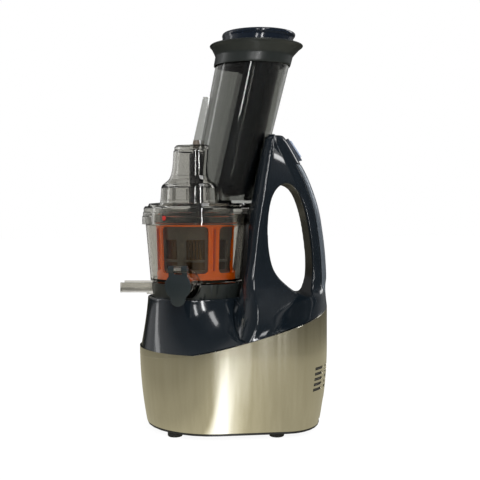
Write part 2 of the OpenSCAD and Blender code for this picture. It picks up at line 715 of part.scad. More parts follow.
// Spout with the arm that carries the cap's hinge, a moulding of its own that is welded to the bowl
module juice_spout() color([0.7, 0.7, 0.66, 0.5]) placed() difference() {
    at_heading(spout_heading) {
        translate([0, 0, spout_z]) {
            rod_front(spout_r, bowl_r_low - bowl_wall - 6, spout_reach);
            rod_front(spout_r + 6, bowl_r_low - 3, bowl_r_low + 5);
            translate([-knuckle_w / 2 + gap, -spout_reach, 5])
                cube([knuckle_w - 2 * gap, 7, hinge_z - spout_z - 3]);
            translate([-2, -spout_reach + 2, 0]) cube([4, spout_reach - bowl_r_low - 4, spout_r + 3]);
        }
        translate([0, -hinge_y, hinge_z]) rod_x(knuckle_r, knuckle_w - 2 * gap);
    }
    spout_cuts();
    rotate_extrude() polygon([[0, floor_low - weld_gap], [bowl_r_low - 1.5 + weld_gap, floor_low - weld_gap],
        [bowl_r_low + weld_gap, floor_low + 1.5], [bowl_r_high + weld_gap, sleeve_z], [0, sleeve_z]]);
    translate([0, 0, pedestal_z - 30]) cylinder(r = big, h = 30 + base_lip + gap);
}

module juice_bowl() color([0.7, 0.7, 0.66, 0.5]) placed() difference() {
    union() {
        bowl_turned();
        // Posts that the strainer stands on
        at_heading(chute_heading + 180) translate([0, -centre_distance, floor_z - 0.5])
            cylinder(r = 4.5, h = strainer_z - floor_z + 0.5);
        for (s = [-1, 1]) at_heading(chute_heading + s * 90) translate([0, -centre_distance, floor_z - 0.5])
            cylinder(r = 4.6, h = 0.9);
    }
    spout_cuts();
    at_heading(chute_heading) translate([-spigot_w / 2 - gap, -spigot_far - gap, floor_low - 1])
        cube([spigot_w + 2 * gap, spigot_far - spigot_near + 2 * gap, 10]);
    for (s = [-1, 1]) at_heading(chute_heading + s * 90) translate([0, -centre_distance, floor_low - 1])
        cylinder(r = idler_pin_r + 0.02, h = 10);
}

// Dark ring under the bowl, with a window for the chute and one for the spout
base_ring_top = floor_low;
base_lip = 2;
module bowl_base() color([0.16, 0.17, 0.19]) placed() difference() {
    union() {
        difference() {
            translate([0, 0, pedestal_z]) cylinder(r1 = bowl_r_low - 2.2, r2 = bowl_r_low - 0.2,
                h = base_ring_top - pedestal_z);
            translate([0, 0, pedestal_z - 1]) cylinder(r = bowl_r_low - 5, h = 40);
        }
        translate([0, 0, pedestal_z]) tube_shape(14, 11, base_ring_top - pedestal_z);
        for (i = [0:5]) at_heading(chute_heading + 30 + 60 * i) translate([-1, -bowl_r_low + 4, pedestal_z])
            cube([2, bowl_r_low - 16, base_ring_top - pedestal_z]);
    }
    at_heading(chute_heading) translate([-chute_w / 2 - gap, -big, pedestal_z + base_lip])
        cube([chute_w + 2 * gap, big - 13, 40]);
    intersection() {
        at_heading(spout_heading) translate([0, 0, spout_z])
            rod_front(spout_r + 6 + gap, bowl_r_low - bowl_wall - 6 - gap, 2 * bowl_r_low);
        translate([0, 0, pedestal_z + base_lip]) cylinder(r = big, h = big);
    }
}

// Open trough: takes the pulp under the strainer's spigot and carries it out
chute_low = pedestal_z + 4.2;
chute_high = floor_low - gap;
chute_wall = 1.8;
module pulp_chute() color([0.72, 0.72, 0.68, 0.5]) placed() at_heading(chute_heading) difference() {
    union() {
        translate([-chute_w / 2, -chute_reach, chute_low]) cube([chute_w, chute_reach - 15, chute_high - chute_low]);
        translate([-chute_w / 2, -bowl_r_low - 3, pedestal_z + base_lip + gap])
            cube([chute_w, bowl_r_low - 12, chute_high - pedestal_z - base_lip - gap]);
    }
    translate([-chute_w / 2 + chute_wall, -chute_reach - 1, chute_low + chute_wall])
        cube([chute_w - 2 * chute_wall, chute_reach - 15 - chute_wall + 1, 40]);
}

module hub_seal() color([0.85, 0.85, 0.83]) placed() translate([0, 0, floor_z]) tube_shape(hub_r + 2.6, hub_r + 0.02, 1.2);

// Gears: teeth are involute, drawn from the base circle outwards

function involute(rb, r) = let (t = sqrt(max(0, r * r / (rb * rb) - 1))) t * 180 / PI - atan(t);
// Half angle of a tooth at radius r
function tooth_half(z, r, play) = let (rp = gear_m * z / 2, rb = rp * cos(gear_pa))
    90 / z - play / rp / 2 * 90 / PI + involute(rb, rp) - involute(rb, max(r, rb));
tooth_steps = 4;
// Outline of a gear with z teeth, from root radius to tip radius, the first tooth on +X
function gear_outline(z, root, tip, play) = [for (i = [0:z - 1]) let (a = 360 * i / z) each concat(
    [for (k = [0:tooth_steps]) let (r = lerp(root, tip, k / tooth_steps), h = tooth_half(z, r, play))
        [r * cos(a - h), r * sin(a - h)]],
    [for (k = [0:tooth_steps]) let (r = lerp(tip, root, k / tooth_steps), h = tooth_half(z, r, play))
        [r * cos(a + h), r * sin(a + h)]])];

ring_teeth = sun_teeth + 2 * idler_teeth;
centre_distance = gear_m * (sun_teeth + idler_teeth) / 2;
tip = gear_m;
root = 1.25 * gear_m;
gear_z = floor_z + 0.6;
idler_pin_r = 2.5;
idler_bore = idler_pin_r + running;

function pitch_r(z) = gear_m * z / 2;
module spur(z, h) {
    linear_extrude(height = h) polygon(gear_outline(z, pitch_r(z) - root, pitch_r(z) + tip, gear_play));
}
// Space of an internal gear: its teeth are what is left between the tooth-shaped gaps
module ring_space(z, h) {
    linear_extrude(height = h) polygon(gear_outline(z, pitch_r(z) - tip, pitch_r(z) + root, -gear_play));
}

// Turn of each gear so that it meshes with the sun, whose first tooth points at heading 0 turned by sun_phase
sun_phase = 0;
function idler_phase(heading) = 180 + heading - 90 + (heading - 90 - sun_phase) * sun_teeth / idler_teeth + 180 / idler_teeth;
idler_heading_a = chute_heading + 90;
idler_heading_b = chute_heading - 90;
// The ring's gap faces the idler's outer tooth
function ring_phase(heading) = (heading - 90) + (heading - 90 - idler_phase(heading)) * -idler_teeth / ring_teeth;

module idler(heading) {
    at_heading(heading) translate([0, -centre_distance, gear_z]) rotate([0, 0, -heading + idler_phase(heading)])
        difference() {
            spur(idler_teeth, gear_h);
            translate([0, 0, -1]) cylinder(r = idler_bore, h = gear_h + 2);
        }
}
module idler_gear_a() color([0.92, 0.9, 0.85]) placed() idler(idler_heading_a);
module idler_gear_b() color([0.92, 0.9, 0.85]) placed() idler(idler_heading_b);
module idler_pins() color([0.8, 0.8, 0.82]) placed()
    for (h = [idler_heading_a, idler_heading_b]) at_heading(h) translate([0, -centre_distance, floor_low])
        cylinder(r = idler_pin_r, h = gear_z + gear_h - floor_low);

// Strainer

strainer_z = gear_z + gear_h + 0.8;
strainer_top = lid_low + 1.5;
window_top = strainer_top - 18;
window_mid = strainer_z + 15;
strainer_floor_t = 1.8;
spigot_near = 18.6;
spigot_far = 33.4;
spigot_w = 15;
first_rib = 61;
function strainer_r(z) = lerp(strainer_r_low, strainer_r_high, (z - strainer_z) / (strainer_top - strainer_z));

// Cone band between heights a and b, from the inner surface moved out by d1 to the same moved out by d2
module cone_band(a, b, d1, d2) {
    rotate_extrude() polygon([[strainer_r(a) + d1, a], [strainer_r(a) + d2, a],
        [strainer_r(b) + d2, b], [strainer_r(b) + d1, b]]);
}

module strainer_frame() color([0.5, 0.5, 0.48]) placed() difference() {
    union() {
        cone_band(strainer_z, strainer_top, mesh_t + 0.1, mesh_t + 0.1 + strainer_wall);
        cone_band(strainer_z, strainer_z + 3, 0, mesh_t + 0.2);
        cone_band(window_top + 1.5, strainer_top, 0, mesh_t + 0.2);
        translate([0, 0, strainer_z]) tube_shape(strainer_r_low + 0.5, 17, strainer_floor_t);
        at_heading(chute_heading) translate([-spigot_w / 2, -spigot_far, floor_low - 1])
            cube([spigot_w, spigot_far - spigot_near, strainer_z - floor_low + 2]);
    }
    for (i = [0:strainer_windows - 1]) at_heading(first_rib + 360 * (i + 0.5) / strainer_windows) {
        window_cut(strainer_z + 5, window_mid - 1.2);
        window_cut(window_mid + 1.2, window_top);
    }
    at_heading(chute_heading) translate([-spigot_w / 2 + 1.5, -spigot_far + 1.5, floor_low - 5])
        cube([spigot_w - 3, spigot_far - spigot_near - 3, 30]);
}
window_w = 20;
module window_cut(a, b) { translate([-window_w / 2, -strainer_r_high - 10, a]) cube([window_w, 20, b - a]); }

// Sieve: a thin cone with upright slots behind each window
sieve_slots = 5;
module strainer_mesh() color([0.45, 0.33, 0.2]) placed() difference() {
    cone_band(strainer_z + 3 + gap / 2, window_top + 1.5 - gap / 2, 0, mesh_t);
    for (i = [0:strainer_windows - 1]) for (k = [0:sieve_slots - 1])
        at_heading(first_rib + 360 * (i + 0.5) / strainer_windows + (k - (sieve_slots - 1) / 2) * 5.4)
            translate([-0.4, -strainer_r_high - 3, window_mid + 2]) cube([0.8, 8, window_top - window_mid - 3]);
}

// Auger

socket_low = hub_top + 1;
auger_top = dome_z - lid_wall - 1;
flight_low = strainer_z + strainer_floor_t + 4;
flight_high = lid_high + 6;
bush_r = 3.2;
auger_core = [
    [13, gear_z], [13, gear_z + gear_h + 0.4], [auger_r_low - 8, gear_z + gear_h + 0.4],
    [auger_r_low - 8, strainer_z + 2.4], [auger_r_low, strainer_z + 5], [auger_r_low - 1, strainer_z + 22],
    [auger_r_low - 5, strainer_z + 42], [auger_r_low - 10, lid_low + 4], [auger_shaft_r + 2, lid_high - 4],
    [auger_shaft_r, lid_high + 8], [auger_shaft_r, auger_top - 6], [bush_r, auger_top - 3],
    [bush_r, auger_top + 4], [0, auger_top + 4], [0, gear_z]];
flight_steps = 26 * flight_turns;
function flight_r(z) = z < strainer_top - 4 ? strainer_r(z) - flight_gap
    : lerp(strainer_r(strainer_top - 4) - flight_gap, auger_shaft_r + 4, pow((z - strainer_top + 4)
        / (flight_high - strainer_top + 4), 1.6));
function core_r(z) = lookup(z, [for (p = auger_core) if (p[1] > strainer_z + 3) [p[1], p[0]]]);
flight_points = [for (i = [0:flight_steps]) let (t = i / flight_steps, z = lerp(flight_low, flight_high, t),
    a = -360 * flight_turns * t, half = lerp(3.2, 2, t), rc = core_r(z) - 2, ro = flight_r(z))
    each [[rc * cos(a), rc * sin(a), z + half], [ro * cos(a), ro * sin(a), z + half / 3],
        [ro * cos(a), ro * sin(a), z - half / 3], [rc * cos(a), rc * sin(a), z - half]]];
module flight() {
    n = flight_steps;
    polyhedron(points = flight_points, faces = concat(
        [[0, 3, 2, 1]], [[4 * n, 4 * n + 1, 4 * n + 2, 4 * n + 3]],
        [for (i = [0:n - 1]) for (k = [0:3]) [4 * i + k, 4 * i + (k + 1) % 4, 4 * (i + 1) + (k + 1) % 4,
            4 * (i + 1) + k]]));
}

socket_r = hex_r + 3.2;
socket_h = shaft_top - socket_low + 4;
module auger() color([0.16, 0.17, 0.17]) placed() difference() {
    union() {
        rotate_extrude() polygon(auger_core);
        flight();
        translate([0, 0, gear_z]) rotate([0, 0, sun_phase]) spur(sun_teeth, gear_h);
    }
    translate([0, 0, gear_z - 1]) cylinder(r = hub_r + gap, h = socket_low - gear_z + 1);
    translate([0, 0, gear_z - 1]) cylinder(r = hub_r + 3, h = 2.4);
    translate([0, 0, socket_low - 1]) cylinder(r = socket_r + 0.02, h = socket_h + 1);
}

module auger_socket() color([0.78, 0.78, 0.8]) placed() translate([0, 0, socket_low]) difference() {
    cylinder(r = socket_r, h = socket_h);
    translate([0, 0, -1]) cylinder(r = hex_r + gap, h = shaft_top - socket_low + 3, $fn = 6);
}

// Wiper: cage with an internal gear, and its blades

wiper_low = floor_z + 0.5;
wiper_ring_top = floor_z + 9;
wiper_top = lid_low + 1.2;
wiper_band = 3.4;
bars = 4;
first_bar = 20;
notches = 42;
function wiper_r(z) = lerp(wiper_r_low, wiper_r_high, (z - wiper_low) / (wiper_top - wiper_low));
corner_r = 5;

// Rounded window between two bars
module cage_window() {
    a0 = bar_w / 2 / wiper_r_low * 180 / PI;
    ac = corner_r / wiper_r_low * 180 / PI;
    low = wiper_ring_top;
    high = wiper_top - wiper_band;
    span = 360 / bars;
    for (p = [[a0, low + corner_r, high - corner_r], [a0 + ac, low, high]])
        rotate([0, 0, p[0]]) rotate_extrude(angle = span - 2 * p[0]) translate([wiper_r_low - 8, p[1]])
            square([20, p[2] - p[1]]);
    for (a = [a0 + ac, span - a0 - ac]) for (z = [low + corner_r, high - corner_r])
        rotate([0, 0, a]) translate([0, 0, z]) rotate([0, 90, 0]) cylinder(r = corner_r, h = 60);
}

module wiper_frame() color([0.9, 0.36, 0.1]) placed() difference() {
    rotate_extrude() polygon([[wiper_r_low - 8.6, wiper_low], [wiper_r_low, wiper_low],
        [wiper_r_high, wiper_top], [wiper_r_high - wiper_wall, wiper_top],
        [wiper_r(wiper_ring_top) - wiper_wall, wiper_ring_top - 1],
        [wiper_r(strainer_z - 0.4) - wiper_wall, strainer_z - 0.4],
        [wiper_r_low - 8.6, strainer_z - 0.4]]);
    translate([0, 0, wiper_low - 1]) rotate([0, 0, ring_phase(idler_heading_a)]) ring_space(ring_teeth, 20);
    for (i = [0:bars - 1]) rotate([0, 0, first_bar - 90 + 360 * i / bars]) cage_window();
    for (i = [0:notches - 1]) rotate([0, 0, 360 * i / notches])
        translate([wiper_r_low - 1.2, -1, wiper_low - 1]) cube([4, 2, 2.6]);
    for (i = [0:bars - 1]) at_heading(first_bar + 360 * i / bars) blade_shape();
}

blade_reach = 1.8;
module blade_shape() {
    low = wiper_ring_top + 3;
    high = wiper_top - wiper_band - 2;
    in_low = strainer_r(low) + mesh_t + strainer_wall + 0.5;
    in_high = strainer_r(high) + mesh_t + strainer_wall + 0.5;
    rotate([0, 0, -90]) rotate([90, 0, 0]) translate([0, 0, -blade_t / 2]) linear_extrude(height = blade_t)
        polygon([[in_low, low], [wiper_r(low) + blade_reach, low],
            [wiper_r(high) + blade_reach, high], [in_high, high]]);
}
module wiper_blades() color([0.75, 0.3, 0.1]) placed()
    for (i = [0:bars - 1]) at_heading(first_bar + 360 * i / bars) blade_shape();

// Flip cap of the juice spout

cap_t = 3.4;
cap_r = 14;
cap_seal_t = 1.2;
tongue_w = 16;
tongue_low = spout_z - 21;
module spout_cap() color([0.09, 0.1, 0.1]) placed() at_heading(spout_heading) difference() {
    y = -spout_reach - cap_seal_t - cap_t;
    union() {
        translate([0, 0, spout_z]) rod_front(cap_r, spout_reach + cap_seal_t, spout_reach + cap_seal_t + cap_t);
        translate([-10, y, spout_z]) cube([20, cap_t, hinge_z - spout_z]);
        translate([-tongue_w / 2, y, tongue_low + tongue_w / 2])
            cube([tongue_w, cap_t, spout_z - tongue_low - tongue_w / 2]);
        translate([0, 0, tongue_low + tongue_w / 2])
            rod_front(tongue_w / 2, spout_reach + cap_seal_t, spout_reach + cap_seal_t + cap_t);
        for (s = [-1, 1]) translate([s * (knuckle_w / 2 + 3), -hinge_y, hinge_z]) rod_x(knuckle_r, 6);
    }
    translate([-knuckle_w / 2, y - 5, hinge_z - knuckle_r - 1]) cube([knuckle_w, 20, 20]);
    translate([0, -hinge_y, hinge_z]) rod_x(cap_pin_r + 0.02, 40);
    // Room behind the plate for the bowl's hinge arm
    translate([-knuckle_w / 2, -spout_reach - cap_seal_t - 1.2, spout_z + spout_r - 1]) cube([knuckle_w, 10, 40]);
}
module cap_seal() color([0.8, 0.8, 0.78]) placed() at_heading(spout_heading) translate([0, 0, spout_z])
    rod_front(spout_r - 0.4, spout_reach, spout_reach + cap_seal_t);
module cap_pin() color([0.8, 0.8, 0.82]) placed() at_heading(spout_heading) translate([0, -hinge_y, hinge_z])
    rod_x(cap_pin_r, 2 * (knuckle_w / 2 + 6) - 1);

// Lid, one clear moulding with the feed tube

shoulder_z = lid_high + 3;
skirt_in = strainer_r_high + mesh_t;
lid_outer = [
    [0, lid_low + 1.8], [lid_r, lid_low], [lid_r, lid_low + 8.5], [lid_r - 0.8, lid_low + 9.3],
    [lid_r - 0.8, lid_low + 13], [lid_r - 1.6, lid_low + 13.8], [lid_r - 1.6, lid_high - 2],
    [lid_r - 3.4, lid_high], [tier_r + 14, lid_high], [tier_r + 12.6, shoulder_z], [tier_r + 0.6, shoulder_z + 1],
    [tier_r, shoulder_z + 4], [tier_r - 1, tier_z - 3.4], [tier_r - 2.6, tier_z - 0.8], [neck_r + 9.4, tier_z + 1.2],
    [neck_r + 5.4, tier_z + 4.6], [neck_r + 3.2, tier_z + 9], [neck_r + 1.6, tier_z + 16],
    [neck_r + 0.7, tier_z + 24], [neck_r, dome_z - 6], [neck_r - 1.4, dome_z - 5.2], [neck_r - 1, dome_z - 4.6],
    [neck_r - 1, dome_z - 2], [neck_r - 3, dome_z], [0, dome_z]];
// Under the lid: groove for the bowl's rim, and the skirt that stands on the strainer
groove_r = bowl_r_high + 0.6;
lid_groove = [
    [0, lid_low - 5], [lid_r + 5, lid_low - 5], [lid_r + 5, lid_low],
    [lid_r - lid_wall, lid_low], [lid_r - lid_wall - 0.2, lid_high - lid_wall - 0.6],
    [strainer_r_high + mesh_t + strainer_wall + 1, lid_high - lid_wall],
    [strainer_r_high + mesh_t + strainer_wall + 0.6, strainer_top + seat], [0, strainer_top + seat]];
lid_inner = [
    [0, lid_low - 5], [strainer_r_high + 0.4, lid_low - 5], [strainer_r_high + 0.4, shoulder_z],
    [tier_r - lid_wall, shoulder_z + 3], [tier_r - lid_wall - 1, tier_z - 5], [neck_r + 6.6, tier_z - 1.4],
    [neck_r + 3, tier_z + 2.6], [neck_r + 0.8, tier_z + 8], [neck_r - 0.8, tier_z + 16],
    [neck_r - lid_wall, dome_z - 7], [neck_r - lid_wall - 2, dome_z - lid_wall], [0, dome_z - lid_wall]];
tube_floor = shoulder_z + 1 + lid_wall;

// The tube's cone, cut level at its lower end and at its mouth
module level_tube(extra, low, high) {
    intersection() {
        tube_cone(extra, low - 20, high + 20);
        translate([-big / 2, -big / 2, low]) cube([big, big, high - low]);
    }
}
fin_t = 3;
fin_top = mouth_z - 42;
fin_out = 8.5;
module tube_fin() {
    intersection() {
        translate([0, tube_y, dome_z]) rotate([-tube_lean, 0, 0])
            translate([-fin_t / 2, -tube_r - fin_out, -50]) cube([fin_t, 30, 120]);
        difference() {
            translate([-big / 2, -big / 2, tier_z]) cube([big, big, fin_top - tier_z]);
            translate([0, 0, dome_z]) cylinder(r = nub_r + gap, h = bush_top - dome_z + gap);
        }
    }
}
nub_r = 4.5;
// The lid is moulded in two: the turned lid, and the feed tube that is welded into it
module bowl_lid() color([0.75, 0.74, 0.7, 0.5]) placed() difference() {
    rotate_extrude() polygon(lid_outer);
    rotate_extrude() polygon(lid_inner);
    rotate_extrude() polygon(lid_groove);
    level_tube(weld_gap, tube_foot, mouth_z);
    translate([0, 0, dome_z - lid_wall - 5]) cylinder(r = nub_r + 0.02, h = lid_wall + 8);
}
weld_gap = 0.06;
tube_foot = shoulder_z + 0.3;
module feed_tube() color([0.75, 0.74, 0.7, 0.5]) placed() difference() {
    union() {
        level_tube(0, tube_foot + weld_gap, mouth_z);
        difference() {
            tube_fin();
            rotate_extrude() polygon([for (p = lid_outer) [max(0, p[0] + (p[0] > 0 ? weld_gap : 0)), p[1]]]);
        }
    }
    rotate_extrude() polygon(lid_inner);
    rotate_extrude() polygon(lid_groove);
    level_tube(-lid_wall, tube_floor, mouth_z + 1);
    translate([0, 0, dome_z - lid_wall - 5]) cylinder(r = nub_r + 0.05, h = lid_wall + 8);
}

bush_top = dome_z + 6;
module lid_bush() color([0.45, 0.4, 0.36]) placed() difference() {
    union() {
        translate([0, 0, dome_z - lid_wall - 3]) cylinder(r = nub_r, h = lid_wall + 4);
        translate([0, 0, dome_z]) cylinder(r1 = nub_r, r2 = nub_r - 1, h = bush_top - dome_z);
    }
    translate([0, 0, dome_z - 20]) cylinder(r = bush_r + running, h = 20 + 2.6);
}

// Collar: level rings whose centres follow the tube's axis
band_low = mouth_z - 7;
ledge_z = lip_z - 7;
band_r = mouth_r + 2.6;
mouth_in = mouth_r - lid_wall;
function collar_rings(profile) = [for (p = profile) circle_at(p[0], tube_axis_y(p[1]), p[1])];
module hopper_collar() color([0.17, 0.18, 0.17]) placed() closed_loft(collar_rings([
    [band_r - 0.4, band_low], [band_r, band_low + 2], [band_r + 0.3, ledge_z - 5], [band_r + 1.8, ledge_z - 2.5],
    [lip_r - 3, lip_z - 3], [lip_r - 0.7, lip_z - 1], [lip_r, lip_z], [lip_r - 0.7, lip_z + 0.9],
    [lip_r - 2.2, lip_z + 1.2], [lip_r - 3.6, lip_z + 1.2], [lip_r - 5, lip_z - 0.4], [mouth_in + 4, ledge_z + 2],
    [mouth_in + 2.6, ledge_z], [mouth_in, ledge_z], [mouth_in, mouth_z + gap], [mouth_r + 1.5, mouth_z + gap],
    [mouth_r + 1.5, band_low]]));

// Pusher: plunger with a flat front and rounded foot, level knob
knob_t = 5;
knob_neck_r = mouth_in + 1.6;
plunger_low = lid_high + 12;
module pusher() color([0.1, 0.11, 0.12]) placed() {
    intersection() {
        translate([0, tube_y, dome_z]) rotate([-tube_lean, 0, 0]) difference() {
            union() {
                l = (plunger_low - dome_z) / cos(tube_lean);
                translate([0, 0, l + 22]) cylinder(r = plunger_r, h = 200);
                translate([0, 0, l + 22]) scale([1, 1, 0.72]) sphere(r = plunger_r);
            }
            translate([-big / 2, -plunger_flat - big, -big / 2]) cube([big, big, big]);
        }
        translate([-big / 2, -big / 2, plunger_low - 10]) cube([big, big, ledge_z + 1.4 - plunger_low + 10]);
    }
    loft(collar_rings([[knob_neck_r, ledge_z + gap], [knob_neck_r, pusher_top - knob_t - 1],
        [knob_r - 0.8, pusher_top - knob_t], [knob_r, pusher_top - knob_t + 1], [knob_r, pusher_top - 1.6],
        [knob_r - 0.8, pusher_top - 0.6], [knob_r - 3, pusher_top]]));
}

steel_skirt();
pedestal();
housing_left();
housing_right();
base_plate();
rubber_feet();
base_screws();
handle_trim();
switch_bezel();
rocker_switch();
cord_inlet();
motor_stator();
motor_lower_bracket();
motor_upper_bracket();
motor_bolts();
motor_rotor();
cooling_fan();
gearbox_case();
drive_shaft();
shaft_bearing();
control_board();
run_capacitor();
juice_bowl();
juice_spout();
bowl_base();
pulp_chute();
hub_seal();
strainer_frame();
strainer_mesh();
idler_gear_a();
idler_gear_b();
idler_pins();
auger();
auger_socket();
wiper_frame();
wiper_blades();
spout_cap();
cap_seal();
cap_pin();
bowl_lid();
feed_tube();
lid_bush();
hopper_collar();
pusher();
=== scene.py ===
# %% [markdown]
# # Upright slow juicer, dressed in Blender
# The solids of this juicer come ready made: every gear, shaft and shell stands in its true place, in
# metres. Blender's task is what the eye sees, so this lesson makes the finishes, the softened mouldings and
# the light. We go from the outside in: camera and light first, then one family of finishes at a time, then
# the pieces that need a finer surface than a plain solid has.

# %% Setup
import bpy
import bmesh
import json
import math
import numpy as np
from mathutils import Matrix, Vector


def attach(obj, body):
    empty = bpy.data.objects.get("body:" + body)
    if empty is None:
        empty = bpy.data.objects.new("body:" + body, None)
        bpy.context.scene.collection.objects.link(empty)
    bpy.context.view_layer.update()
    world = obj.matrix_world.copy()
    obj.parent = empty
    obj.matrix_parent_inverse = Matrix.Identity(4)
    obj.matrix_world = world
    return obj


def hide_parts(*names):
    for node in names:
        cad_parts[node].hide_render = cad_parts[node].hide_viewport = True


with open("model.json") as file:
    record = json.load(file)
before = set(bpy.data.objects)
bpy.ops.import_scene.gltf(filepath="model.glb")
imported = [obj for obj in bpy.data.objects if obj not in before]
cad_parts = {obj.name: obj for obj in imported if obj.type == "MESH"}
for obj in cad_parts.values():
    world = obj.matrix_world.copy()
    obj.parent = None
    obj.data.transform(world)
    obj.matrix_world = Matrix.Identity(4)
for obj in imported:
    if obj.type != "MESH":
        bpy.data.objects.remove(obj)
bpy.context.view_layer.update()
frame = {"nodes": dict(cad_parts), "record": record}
solids = frame["nodes"]
print("solids:", len(solids))

# %% [markdown]
# ## Camera
# A long lens far away shows an appliance without bending its upright edges. The camera looks level at the
# middle of the juicer, a little from the front of its right side. Instead of tilting the camera to frame
# the whole height, the lens is shifted, as on a view camera, so that uprights stay upright. Places are
# counted from the drive axis, the upright line that the bowl, the auger and the wiper share. It stands a
# little in front of the juicer's middle, at DRIVE_Y.

# %% Camera
DRIVE_Y = -0.031882
TURN = math.radians(8)
EYE_HEIGHT, EYE_ASIDE, EYE_AWAY = 0.2426, 0.04916, 0.990
SENSOR_WIDTH, FOCAL_LENGTH, LENS_DROP = 36, 66, 32 / 480
towards = Vector((math.cos(TURN), -math.sin(TURN), 0))
right = Vector((math.sin(TURN), math.cos(TURN), 0))
up = Vector((0, 0, 1))
axis_foot = Vector((0, DRIVE_Y, 0))
eye = Vector((0, DRIVE_Y, EYE_HEIGHT)) + right * EYE_ASIDE + towards * EYE_AWAY

lens = bpy.data.cameras.new("camera")
lens.sensor_width = SENSOR_WIDTH
lens.lens = FOCAL_LENGTH
lens.shift_y = -LENS_DROP
camera = bpy.data.objects.new("camera", lens)
bpy.context.scene.collection.objects.link(camera)
camera.matrix_world = Matrix.Translation(eye) @ Matrix((right, up, towards)).transposed().to_4x4()
bpy.context.scene.camera = camera
bpy.context.scene.view_settings.view_transform = "Standard"
print("camera at", tuple(round(v, 3) for v in eye))


# %% [markdown]
# ## Node helpers
# A material is a little machine of nodes. Writing every link by hand is long, so four helpers keep each
# recipe below as short as a sentence. One adds a node with its values and links, one does a sum, one mixes
# two shaders, and one turns a plain number into a brightness.

# %% Node helpers
def add(tree, kind, values=None, links=None, **props):
    """Adds a node, sets its properties and values, and joins the results of other nodes to its inputs."""
    node = tree.nodes.new(kind)
    for key, value in props.items():
        setattr(node, key, value)
    for key, value in (values or {}).items():
        node.inputs[key].default_value = value
    for key, source in (links or {}).items():
        tree.links.new(source, node.inputs[key])
    return node


def maths(tree, operation, *terms):
    """A sum of plain numbers and of results of other nodes."""
    node = add(tree, "ShaderNodeMath", operation=operation)
    for i, term in enumerate(terms):
        if isinstance(term, bpy.types.NodeSocket):
            tree.links.new(term, node.inputs[i])
        else:
            node.inputs[i].default_value = term
    return node.outputs[0]


def blend(tree, share, first, second):
    """Mixes two shaders: a share of 0 is all the first, a share of 1 is all the second."""
    return add(tree, "ShaderNodeMixShader", links={0: share, 1: first, 2: second}).outputs[0]


def ramp(tree, value, stops):
    """Turns a plain number into a brightness, through (number, brightness) stops in rising order."""
    low, high = stops[0][0], stops[-1][0]
    place = add(tree, "ShaderNodeMapRange", {"From Min": low, "From Max": high}, {"Value": value})
    node = add(tree, "ShaderNodeValToRGB", links={"Fac": place.outputs["Result"]})
    node.color_ramp.interpolation = "EASE"
    top = max(level for _, level in stops)
    marks = node.color_ramp.elements
    for i, (number, level) in enumerate(stops):
        where = (number - low) / (high - low)
        mark = marks[i] if i < 2 else marks.new(where)
        mark.position = where
        mark.color = (level / top,) * 3 + (1,)
    return maths(tree, "MULTIPLY", node.outputs["Color"], top)


print("helpers:", *(helper.__name__ for helper in (add, maths, blend, ramp)))

# %% [markdown]
# ## Studio
# The juicer stands in a white studio. The camera itself sees plain white, and so does a ray that looks
# through the clear bowl, though a little less of it towards the camera, where a real studio has its dark
# side. A glossy surface sees something else: a ring of lighter and darker cards, set by their heading in
# degrees. The dark cards are what gives black gloss its depth. Light Path tells the three kinds of ray
# apart.

# %% World
WHITE = (1, 1, 1, 1)
PLAIN_LIGHT = 0.5
FRONT_X, FRONT_SHADE = 0.3, 0.7
CARDS = [(-180, 0.03), (-152, 0.1), (-128, 0.5), (-98, 0.5), (-62, 0.14), (-20, 0.08), (60, 0.08), (92, 0.18),
         (106, 0.05), (122, 0.4), (150, 0.12), (180, 0.03)]


def sees_white(tree, path, along, white_until):
    """How much plain white a ray sees: all from the camera, less through clear plastic towards the front."""
    depth = ramp(tree, along, [(-1.0, 1.0), (white_until, 1.0), (FRONT_X, FRONT_SHADE), (1.0, FRONT_SHADE)])
    through = maths(tree, "MULTIPLY", path.outputs["Is Transmission Ray"], depth)
    return maths(tree, "MAXIMUM", path.outputs["Is Camera Ray"], through)


world = bpy.data.worlds.new("studio")
bpy.context.scene.world = world
world.use_nodes = True
tree = world.node_tree
tree.nodes.clear()
path = add(tree, "ShaderNodeLightPath")
coords = add(tree, "ShaderNodeTexCoord")
split = add(tree, "ShaderNodeSeparateXYZ", links={"Vector": coords.outputs["Generated"]})
heading = maths(tree, "ARCTAN2", split.outputs["Y"], split.outputs["X"])
cards = ramp(tree, heading, [(math.radians(angle), level) for angle, level in CARDS])
seen = sees_white(tree, path, split.outputs["X"], 0.0)
plain = add(tree, "ShaderNodeBackground", {"Color": WHITE, "Strength": PLAIN_LIGHT})
mirror = add(tree, "ShaderNodeBackground", {"Color": WHITE}, {"Strength": cards})
white = add(tree, "ShaderNodeBackground", {"Color": WHITE, "Strength": 1.0})
lit = blend(tree, path.outputs["Is Glossy Ray"], plain.outputs[0], mirror.outputs[0])
add(tree, "ShaderNodeOutputWorld", links={"Surface": blend(tree, seen, lit, white.outputs[0])})
print("cards round the studio:", len(CARDS))

# %% [markdown]
# ## Lamps
# Soft boxes are area lamps. A tall narrow one to the right of the camera and one just beside it draw the
# long upright highlights on gloss plastic and on steel. A wide one overhead lights the tops, a weak one
# from the left keeps that side from going flat, and one behind on the right outlines the back of the grip.

# %% Lamps
LAMP_AIM = Vector((0, 0, 0.2))


def soft_box(name, heading, distance, height, size, power):
    """A lamp at a heading counted in degrees from the camera's own side, to the right."""
    lamp = bpy.data.lights.new(name, "AREA")
    lamp.shape = "RECTANGLE"
    lamp.size, lamp.size_y = size
    lamp.energy = power
    box = bpy.data.objects.new(name, lamp)
    bpy.context.scene.collection.objects.link(box)
    angle = math.radians(heading) - TURN
    place = Vector((math.cos(angle) * distance, math.sin(angle) * distance, height))
    aimed = (LAMP_AIM - place).to_track_quat("-Z", "Y").to_matrix().to_4x4()
    box.matrix_world = Matrix.Translation(place) @ aimed
    print(name + ":", power, "W")


